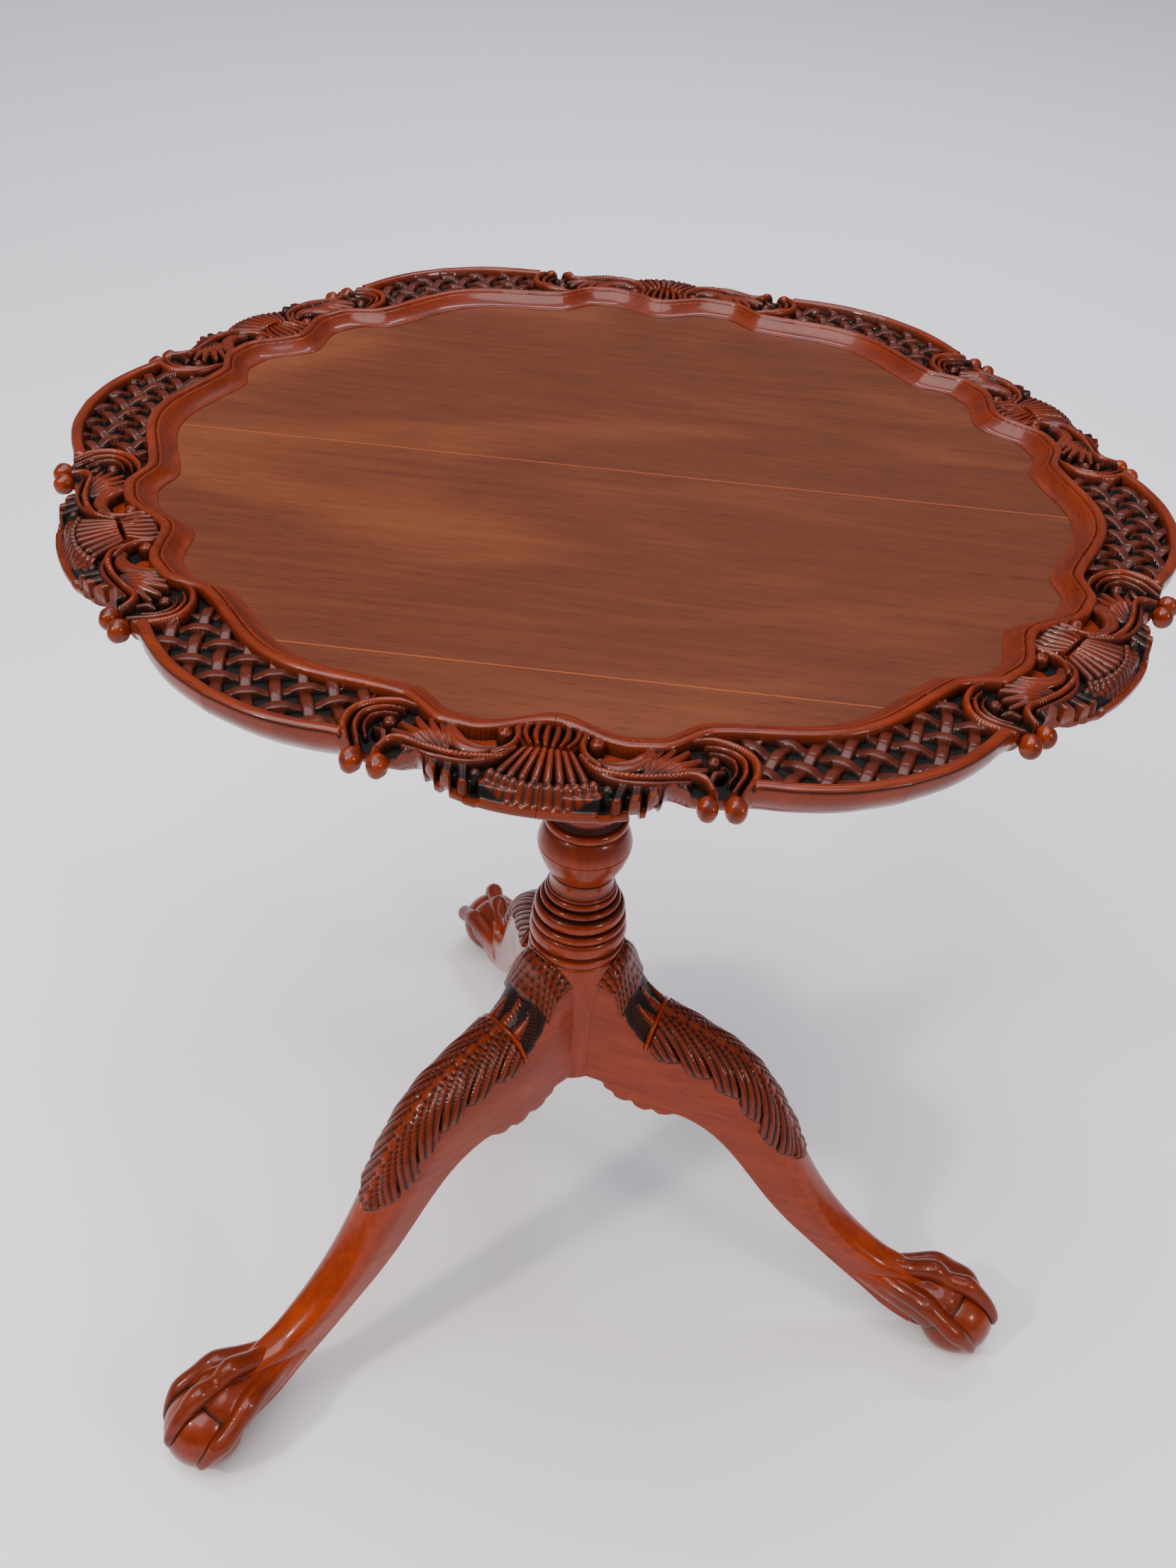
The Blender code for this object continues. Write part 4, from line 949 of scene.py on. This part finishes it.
@dataclass
class Leg:
    """One cabriole leg: carved knee, plain plank flanks, and a claw that holds a ball."""

    axis: Vector
    node: str
    azimuth: float
    rows: int = 460
    cols: int = 168
    ball_reach: float = 0.348    # from the pillar's axis to the ball's centre
    ball_height: float = 0.0292
    ball_radius: float = 0.0296
    pillar_mm: float = 36.7    # radius that the leg's inner end stops at
    lower: list[tuple[float, float]] = field(default_factory=lambda: [
        (22, 210.5), (30, 210.0), (37.2, 209.0), (40, 204.0), (46, 201.4), (49, 197.4), (56, 195.8),
        (62, 197.8), (66, 193.8), (73, 191.6), (79, 194.0), (84, 190.6), (90, 191.2), (97, 194.2),
        (108, 192.0), (122, 185.4), (136, 174.6), (150, 159.6), (165, 140.8), (180, 122.0), (197, 103.8),
        (215, 87.8), (235, 70.8), (255, 54.5), (272, 41.5), (288, 29.5), (300, 23.0), (312, 18.0)])
    upper: list[tuple[float, float]] = field(default_factory=lambda: [
        (24, 329.0), (31, 328.0), (38, 325.0), (42, 320.0), (45, 312.0), (49, 303.0), (55, 293.0),
        (63, 284.0), (74, 277.0), (86, 273.0), (98, 268.5), (110, 264.0), (122, 259.0), (136, 252.0),
        (152, 239.6), (168, 220.6), (184, 195.0), (200, 165.2), (215, 140.4), (232, 118.0), (251, 99.0),
        (270, 85.0), (285, 77.0), (299, 74.0), (310, 71.0), (318, 66.0), (326, 59.0), (334, 50.0)])

    def half_width(self, r: np.ndarray) -> np.ndarray:
        """Half thickness of the plank at a radius, in millimetres."""
        return np.clip(28.4 - 0.0735 * (r - 68.0), 12.4, 28.0)

    def stations(self) -> tuple[np.ndarray, np.ndarray, np.ndarray]:
        """Pair the lower and upper edges along the leg.

        Returns:
            Lower points, upper points and half widths.
        """
        low, high = curve_points(self.lower, self.rows), curve_points(self.upper, self.rows)
        middle = (low[:, 0] + high[:, 0]) / 2
        return low, high, self.half_width(middle)

    def leaf(self, along: np.ndarray, v: np.ndarray, width: np.ndarray) -> tuple[np.ndarray, np.ndarray]:
        """Height of the knee carving and its painted shade, partly dark staining.

        Args:
            along: Distance down the crown from the collar, in millimetres.
            v: Distance across from the crown's middle, in millimetres.
            width: Half width of the plank there.

        Returns:
            Raised height in millimetres, and recess from zero to one.
        """
        av = np.abs(v)
        height = np.zeros_like(av)
        dark = np.zeros_like(av)
        # collar: long smooth ribs that sweep from the tip beside the pillar down to the flank's corner
        collar = (along < 33.0 - 0.30 * av) & (av < 34.0)
        quill = saw((av * 0.95 - along * 0.34 + 40.0) / 6.2)
        height = np.where(collar, 1.2 + 2.2 * half_round(quill), height)
        # painted shade in the grooves between the collar's ribs, over an even 0.25 of dark staining
        dark = np.where(collar, 0.25 + 0.75 * smoothstep(0.45, 0.95, quill), dark)
        # punched ground, with three pointed leaves that grow up from the ribbon
        ground = (~collar) & (along < 60.0) & (av < width + 5.0)
        dots = np.clip(np.cos(along * 1.9) * np.cos(v * 1.9), 0, 1)
        nearest = np.abs(np.abs(v) - 13.5 * (av > 6.5))
        blade = np.clip((along - 36.0) / 20.0, 0, 1) * 5.2
        leaflet = np.clip(1.0 - nearest / np.maximum(blade, 0.1), 0, 1) ** 0.5 * (along > 36.0)
        height = np.where(ground, 0.5 * dots + 2.6 * leaflet, height)
        # painted shade on the sunk ground, lighter on the punched dots and on the leaves
        dark = np.where(ground, np.clip(1.0 - 0.30 * dots - 0.95 * leaflet, 0, 1), dark)
        # ribbon across the knee
        bar = np.abs(along - (61.0 - 0.10 * av)) / 2.3
        on_bar = (bar < 1.0) & (av < width + 9.0)
        height = np.where(on_bar, 3.2 * half_round(bar), height)
        # painted shade along both edges of the ribbon, where it meets the ground
        dark = np.where(on_bar, 0.5 * smoothstep(0.7, 1.0, bar), dark)
        # acanthus: a midrib, and long feathers that leave it slowly and end in curled lobes at the margin
        start, length, feather = 63.0, 175.0, 11.5
        run = np.clip((along - start) / length, 0.0, 1.0)
        lag = (np.sqrt(0.13 + 0.008 * av) - 0.36) / 0.004
        sweep = along - start - lag + 6 * feather
        lobe = (sweep / (3 * feather)) % 1.0
        full = (width + 10.0 - 6.0 * run) * np.clip((1.0 - run) / 0.16, 0, 1) ** 0.6
        margin = full * (1.0 - 0.20 * lobe**2.0)
        leaf = (along > start - 1.0) & (run < 1.0) & (av < margin)
        rib = saw(sweep / feather)
        rib_top = half_round(rib / 0.94)
        rounded = np.clip((margin - av) / 3.5, 0, 1) ** 0.5
        outer = smoothstep(0.40, 0.75, av / np.maximum(full, 1.0))
        parting = smoothstep(0.86, 1.0, np.abs(lobe * 2 - 1)) * outer
        crown = 1.0 + 1.7 * rib_top + 1.3 * np.sin(np.pi * lobe)
        l_height = crown * (0.4 + 0.6 * rounded) - 2.6 * parting
        spine = av / (3.0 - 1.2 * run)
        l_height = np.where(spine < 1.0, 3.8 * half_round(spine), l_height)
        # painted shade in the grooves between feathers and in the partings between lobes, over an even 0.30
        # of dark staining; none on the midrib
        l_dark = np.clip(0.30 + smoothstep(0.45, 0.95, rib) * 0.9 + 1.2 * parting, 0, 1) * (spine > 1.0)
        height = np.where(leaf, l_height, height)
        dark = np.where(leaf, l_dark, dark)
        # painted shade in a narrow band round the leaf's margin
        outline = (av >= margin) & (av < margin + 1.4) & (along > start - 1.0) & (run < 1.0)
        dark = np.where(outline, 0.75, dark)
        return height, dark

    def shaft(self) -> tuple[np.ndarray, np.ndarray, np.ndarray, list[list[int]]]:
        """Build the carved leg down to its ankle.

        Returns:
            Vertices, quads, recess values and end caps.
        """
        low, high, width = self.stations()
        centre, up = (low + high) / 2, (high - low) / 2
        u = np.linspace(0.0, 1.0, self.cols, endpoint=False)
        # more of the ring's points go to the crown than to the plain flanks
        angle = 2 * np.pi * (u + 0.055 * np.sin(4 * np.pi * u)) - np.pi / 2
        ca, sa = np.cos(angle)[None, :], np.sin(angle)[None, :]
        lower_power, upper_power = 2 / 22.0, 2 / 2.5
        power = np.where(sa < 0, lower_power, upper_power)
        side = np.sign(ca) * np.abs(ca) ** power
        rise = np.sign(sa) * np.abs(sa) ** power
        r = centre[:, :1] + up[:, :1] * rise
        z = centre[:, 1:] + up[:, 1:] * rise
        y = width[:, None] * side
        # normals, from the ring's own run and the way the leg's edges face each other
        dy, dr, dz = (np.roll(a, -1, 1) - np.roll(a, 1, 1) for a in (y, r, z))
        length = np.sqrt(dy**2 + dr**2 + dz**2) + 1e-9
        upward = up / np.linalg.norm(up, axis=1)[:, None]
        climb = dr * upward[:, :1] + dz * upward[:, 1:]
        normal_side, normal_up = climb / length, -dy / length
        crest = int(np.argmax(sa[0]))
        segment = np.sqrt(sum((np.roll(a, -1, 1) - a) ** 2 for a in (y, r, z)))
        distance = np.cumsum(segment, axis=1) - segment
        v = distance - distance[:, crest : crest + 1]
        step = np.linalg.norm(np.diff(high, axis=0, prepend=high[:1]), axis=1)
        hidden = 14.0    # the first stretch runs inside the pillar
        along = np.cumsum(step)[:, None] - hidden + np.zeros_like(v)
        height, dark = self.leaf(along, v, np.broadcast_to(width[:, None], v.shape))
        on_top = sa > -0.55
        height, dark = np.where(on_top, height, 0.0), np.where(on_top, dark, 0.0)
        y = y + height * normal_side
        r = r + height * normal_up * upward[:, :1]
        z = z + height * normal_up * upward[:, 1:]
        r = np.maximum(r, np.sqrt(np.maximum(self.pillar_mm**2 - y**2, 0.0)))    # stay outside the pillar
        verts = np.stack([r, y, z], axis=-1).reshape(-1, 3) * MM
        rows, cols = y.shape
        return verts, tube_faces(rows, cols), dark.reshape(-1), end_caps(rows, cols, outward=False)

    def toe_shapes(self) -> list[tuple[list[tuple[float, float, float]], list[float]]]:
        """Paths of the toes and claws, as (radius, across, height) in millimetres, with their thickness."""
        middle = ([(272, 0, 68), (288, 0, 67), (304, 0, 70), (316, 0, 75), (323, 0, 76), (333, 0, 70),
                   (343, 0, 69.5), (350, 0, 69), (360, 0, 62), (369, 0, 53), (376, 0, 42), (378, 0, 34)],
                  [9, 8.6, 8.2, 8.6, 8.8, 7.4, 8.0, 8.4, 6.8, 6.0, 4.6, 2.0])
        toes = [middle]
        for s in (-1, 1):
            toes.append(([(272, 5 * s, 60), (288, 9 * s, 58), (304, 15 * s, 58), (317, 20.5 * s, 59),
                          (324, 23.5 * s, 58), (335, 26.5 * s, 52), (345, 28.5 * s, 46), (351, 28.5 * s, 42),
                          (359, 27 * s, 34), (364, 24.5 * s, 26), (366, 22 * s, 19)],
                         [8.6, 8.8, 8.8, 9.0, 9.0, 7.8, 8.2, 8.2, 6.2, 4.6, 2.0]))
        toes.append(([(272, 0, 52), (286, 0, 41), (298, 0, 31), (307, 0, 24), (312, 0, 18), (318, 0, 11),
                      (325, 0, 7)], [9, 9.5, 9.5, 9.0, 8.0, 5.6, 3.0]))
        return toes

    def foot(self) -> tuple[np.ndarray, np.ndarray]:
        """Blend the ankle, toes and claws into one skin.

        Returns:
            Vertices and triangles or quads of the skin, as arrays.
        """
        strings = [(curve_points(path, 46), curve_points([[a] for a in thick], 46)[:, 0], 2)
                   for path, thick in self.toe_shapes()]
        palm = curve_points([(270, 0, 58), (290, 0, 51), (306, 0, 47), (320, 0, 45), (330, 0, 43)], 14)
        strings.append((palm, np.linspace(15.0, 26.0, 14), 3))
        bm = bmesh.new()
        for points, sizes, fineness in strings:
            for p, size in zip(points, sizes):
                centre = Matrix.Translation(Vector(p) * MM) @ Matrix.Scale(size * MM, 4)
                bmesh.ops.create_icosphere(bm, subdivisions=fineness, radius=1.0, matrix=centre)
        mesh = bpy.data.meshes.new("foot_rough")
        bm.to_mesh(mesh)
        bm.free()
        rough = bpy.data.objects.new("foot_rough", mesh)
        bpy.context.scene.collection.objects.link(rough)
        remesh = rough.modifiers.new("skin", "REMESH")
        remesh.mode = "VOXEL"
        remesh.voxel_size = 0.0011
        smooth = rough.modifiers.new("smooth", "SMOOTH")
        smooth.iterations = 4
        shaped = bpy.data.meshes.new_from_object(rough.evaluated_get(bpy.context.evaluated_depsgraph_get()))
        verts = np.empty(len(shaped.vertices) * 3)
        shaped.vertices.foreach_get("co", verts)
        faces = np.array([list(p.vertices) if len(p.vertices) == 4 else [*p.vertices, p.vertices[0]]
                          for p in shaped.polygons])
        bpy.data.objects.remove(rough, do_unlink=True)
        bpy.data.meshes.remove(shaped)
        return verts.reshape(-1, 3), faces

    def build(self, material: bpy.types.Material, foot: tuple[np.ndarray, np.ndarray]) -> None:
        """Build the leg with its foot and ball.

        Args:
            material: Carved mahogany.
            foot: The blended skin of the foot.
        """
        verts, quads, shade, caps = self.shaft()
        foot_verts, foot_faces = foot
        ball = self.ball()
        faces = [quads, foot_faces + len(verts), ball[1] + len(verts) + len(foot_verts)]
        near_ball = np.linalg.norm(foot_verts - np.array([self.ball_reach, 0, self.ball_height]), axis=1)
        # painted shade where the toes meet the ball, over an even darker staining of the foot; both fade out
        # up the ankle, and the ball is evenly darker
        foot_shade = 0.40 + 0.55 * (1 - smoothstep(29.5 * MM, 33.5 * MM, near_ball))
        foot_shade *= smoothstep(0.282, 0.310, foot_verts[:, 0])
        shade = np.concatenate([shade, foot_shade, np.full(len(ball[0]), 0.26)])
        mesh = mesh_from(self.node, np.vstack([verts, foot_verts, ball[0]]), np.vstack(faces), caps, 55.0,
                         shade)
        place(f"carved_{self.node}", mesh, material, Body.BASE, turned(self.axis, self.azimuth), [self.node])

    def ball(self) -> tuple[np.ndarray, np.ndarray]:
        """The smooth ball, worn flat where it stands."""
        rows, cols = 40, 64
        theta, phi = ball_angles(rows, cols)
        around = self.ball_radius * np.sin(theta)
        points = np.stack([self.ball_reach + around * np.cos(phi), around * np.sin(phi),
                           self.ball_height + self.ball_radius * np.cos(theta)], axis=-1)
        points[..., 2] = np.maximum(points[..., 2], 0.0)
        return points.reshape(-1, 3), tube_faces(rows, cols)[:, ::-1]


# ---------------------------------------------------------------- studio


@dataclass
class Studio:
    """Pale floor, soft light and the camera."""

    axis: Vector
    eye: tuple[float, float, float] = (0.0712, -0.9069, 1.1686)
    look: tuple[float, float, float] = (-0.0632, 0.7925, -0.6067)
    roll: float = math.radians(4.66)
    lens: float = 37.43

    def add_floor(self) -> None:
        """Lay the plain pale floor."""
        mesh = bpy.data.meshes.new("floor")
        reach = 40.0
        corners = [(-reach, -reach, 0), (reach, -reach, 0), (reach, reach, 0), (-reach, reach, 0)]
        mesh.from_pydata(corners, [], [(0, 1, 2, 3)])
        floor = bpy.data.objects.new("floor", mesh)
        mesh.materials.append(Plaster("floor_matt_white", "e9e6ea").make())
        bpy.context.scene.collection.objects.link(floor)

    def add_light(self, name: str, at: tuple[float, float, float], size: float, power: float, colour: str,
                  aim: tuple[float, float, float] = (0.0, 0.0, 0.5)) -> None:
        """Hang one soft light.

        Args:
            name: Light name.
            at: Its place from the pillar's axis.
            size: Side of its square in metres.
            power: Watts.
            colour: sRGB hex colour.
            aim: The place it faces, from the pillar's axis.
        """
        data = bpy.data.lights.new(name, "AREA")
        data.size = size
        data.energy = power
        data.color = linear(colour)[:3]
        lamp = bpy.data.objects.new(name, data)
        bpy.context.scene.collection.objects.link(lamp)
        lamp.location = self.axis + Vector(at)
        lamp.rotation_euler = (Vector(aim) - Vector(at)).to_track_quat("-Z", "Y").to_euler()

    def add_camera(self) -> None:
        """Set the camera at its angle."""
        forward = Vector(self.look).normalized()
        right = forward.cross(Vector((0, 0, 1))).normalized()
        up = right.cross(forward)
        c, s = math.cos(self.roll), math.sin(self.roll)
        right, up = right * c + up * s, up * c - right * s
        data = bpy.data.cameras.new("camera")
        data.sensor_fit = "VERTICAL"
        data.sensor_height = 36.0
        data.lens = self.lens
        data.clip_end = 120.0
        camera = bpy.data.objects.new("camera", data)
        bpy.context.scene.collection.objects.link(camera)
        turn = Matrix((right, up, -forward)).transposed().to_4x4()
        camera.matrix_world = Matrix.Translation(self.axis + Vector(self.eye)) @ turn
        bpy.context.scene.camera = camera

    def sky(self) -> bpy.types.World:
        """Make the studio's air: bright overhead and dim at the sides, so that flat wood shows no veil.

        Returns:
            The world.
        """
        dim, bright, low, high = 0.24, 1.10, 0.60, 0.92
        world = bpy.data.worlds.new("studio_air")
        world.use_nodes = True
        tree = world.node_tree
        where = add_node(tree, "ShaderNodeTexCoord")
        split = add_node(tree, "ShaderNodeSeparateXYZ", {}, {0: where.outputs["Generated"]})
        rise = add_node(tree, "ShaderNodeMapRange",
                        {("From Min",): low, ("From Max",): high, ("To Min",): dim, ("To Max",): bright},
                        {"Value": split.outputs["Z"]})
        air = tree.nodes["Background"]
        air.inputs["Color"].default_value = linear("e4e9f4")
        tree.links.new(rise.outputs["Result"], air.inputs["Strength"])
        return world

    def build(self) -> None:
        """Build the whole studio."""
        self.add_floor()
        self.add_light("overhead_softbox", (-0.4, -0.7, 3.0), 2.4, 128.0, "fbf9fa")
        self.add_light("key_lamp", (-1.7, -1.7, 2.4), 0.26, 52.0, "fff0e0")
        self.add_light("side_lamp", (2.3, -1.4, 1.8), 0.5, 34.0, "ffeee2")
        self.add_light("far_softbox", (0.2, 2.0, 3.6), 1.2, 120.0, "e8efff", (0.2, 5.4, 0.0))
        bpy.context.scene.world = self.sky()
        self.add_camera()


# ---------------------------------------------------------------- assembly


@dataclass
class CatchSpring:
    """The catch's coil spring."""

    turns: float = 7.0
    wire: float = 0.00045
    sides: int = 10
    steps: int = 26
    travel: float = 0.009    # of the bolt, as its joint allows

    def build(self, material: bpy.types.Material) -> None:
        """Wind the spring in the place of its plain solid.

        Args:
            material: Dark iron.
        """
        low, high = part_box("catch_spring")
        middle = Vector(((low[0] + high[0]) / 2, 0.0, (low[2] + high[2]) / 2))
        mean = (high[0] - low[0]) / 2 - self.wire
        start, end = low[1] + self.wire, high[1] - self.wire
        count = int(self.turns * self.steps)
        turn = np.linspace(0.0, self.turns * 2 * np.pi, count + 1)[:, None]
        around = np.linspace(0.0, 2 * np.pi, self.sides, endpoint=False)[None, :]
        reach = mean + self.wire * np.cos(around)
        y = np.linspace(start, end, count + 1)[:, None] + self.wire * np.sin(around)
        verts = np.stack([middle.x + reach * np.cos(turn), y, middle.z + reach * np.sin(turn)], axis=-1)
        quads = tube_faces(count + 1, self.sides)[:, ::-1]
        mesh = mesh_from("coil", verts.reshape(-1, 3), quads, end_caps(count + 1, self.sides), 60.0)
        spring = place("coil_spring", mesh, material, Body.TOP, None, ["catch_spring"])
        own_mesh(spring)


@dataclass
class CarriedOver:
    """CAD nodes that keep their shape and get their finish."""

    nodes: dict[str, bpy.types.Object]

    def dress(self, slots: dict[str, str], finishes: dict[str, bpy.types.Material]) -> None:
        """Give each node the material of its slot.

        Args:
            slots: Node name to material slot.
            finishes: Slot name to material.
        """
        for name, obj in self.nodes.items():
            for holder in obj.material_slots:
                holder.material = finishes[slots[name]]


def main() -> None:
    """Build the table and its studio."""
    logging.basicConfig(level=logging.INFO, format="%(message)s")
    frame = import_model()
    low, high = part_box("pillar")
    axis = Vector(((low[0] + high[0]) / 2, (low[1] + high[1]) / 2, 0.0))
    board_low, board_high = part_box("board_middle")
    rim_boxes = [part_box(f"rim_segment_{i + 1}") for i in range(6)]
    middle = [(min(b[0][k] for b in rim_boxes) + max(b[1][k] for b in rim_boxes)) / 2 for k in (0, 1)]
    top_axis = Vector((*middle, 0.0))
    rim_high = rim_boxes[0][1][2]

    # the fourth colour of each mahogany is its hollow colour, which painted shade and dark staining mix in on
    # carved pieces
    carved = Mahogany("mahogany_carved_polish", "97360f", "561806", "060201", 0.24, 0.20, 0.08, 0.14,
                      carved=True, figure=0.2)
    rim_polish = Mahogany("mahogany_rim_polish", "7a2b0d", "421205", "050201", 0.24, 0.22, 0.08, 0.14,
                          carved=True, figure=0.2)
    figured = Mahogany("mahogany_figured_field", "683820", "4b2516", "28110b", 0.38, 0.0, 0.20, 0.14,
                       figure=0.7, figure_mm=190.0, streak_mm=7.0, glue_lines=(0.0060, -0.2237),
                       glue_skew=math.radians(1.5))
    plain = Mahogany("mahogany_plain_underside", "84492c", "54291a", "20100a", 0.55, 0.0, 0.3, streak_mm=4.0)
    brass = OldMetal("brass_aged", "c79b52", "7d5a2a", 0.28)
    iron = OldMetal("iron_forged_dark", "4a4644", "2b2725", 0.48)
    carved_material, figured_material = carved.make(), figured.make()
    finishes = {"mahogany_polished": carved_material, "mahogany_field": figured_material,
                "mahogany_underside": plain.make(), "brass_aged": brass.make(), "iron_black": iron.make()}
    slots = {part["node"]: part["material_slot"] for part in frame["record"]["subparts"]}
    CarriedOver(frame["nodes"]).dress(slots, finishes)

    CarvedRim(top_axis, rim_high, board_low[2], board_high[2]).build(rim_polish.make())
    Field(top_axis, board_high[2], board_low[2]).build(figured_material)
    Pillar(axis).build(carved_material)
    legs = [Leg(axis, "leg_front_left", 229.0), Leg(axis, "leg_right", 349.0), Leg(axis, "leg_back", 109.0)]
    foot = legs[0].foot()
    for leg in legs:
        leg.build(carved_material, foot)
    CatchSpring().build(finishes["iron_black"])
    Studio(axis).build()


if __name__ == "__main__":
    main()
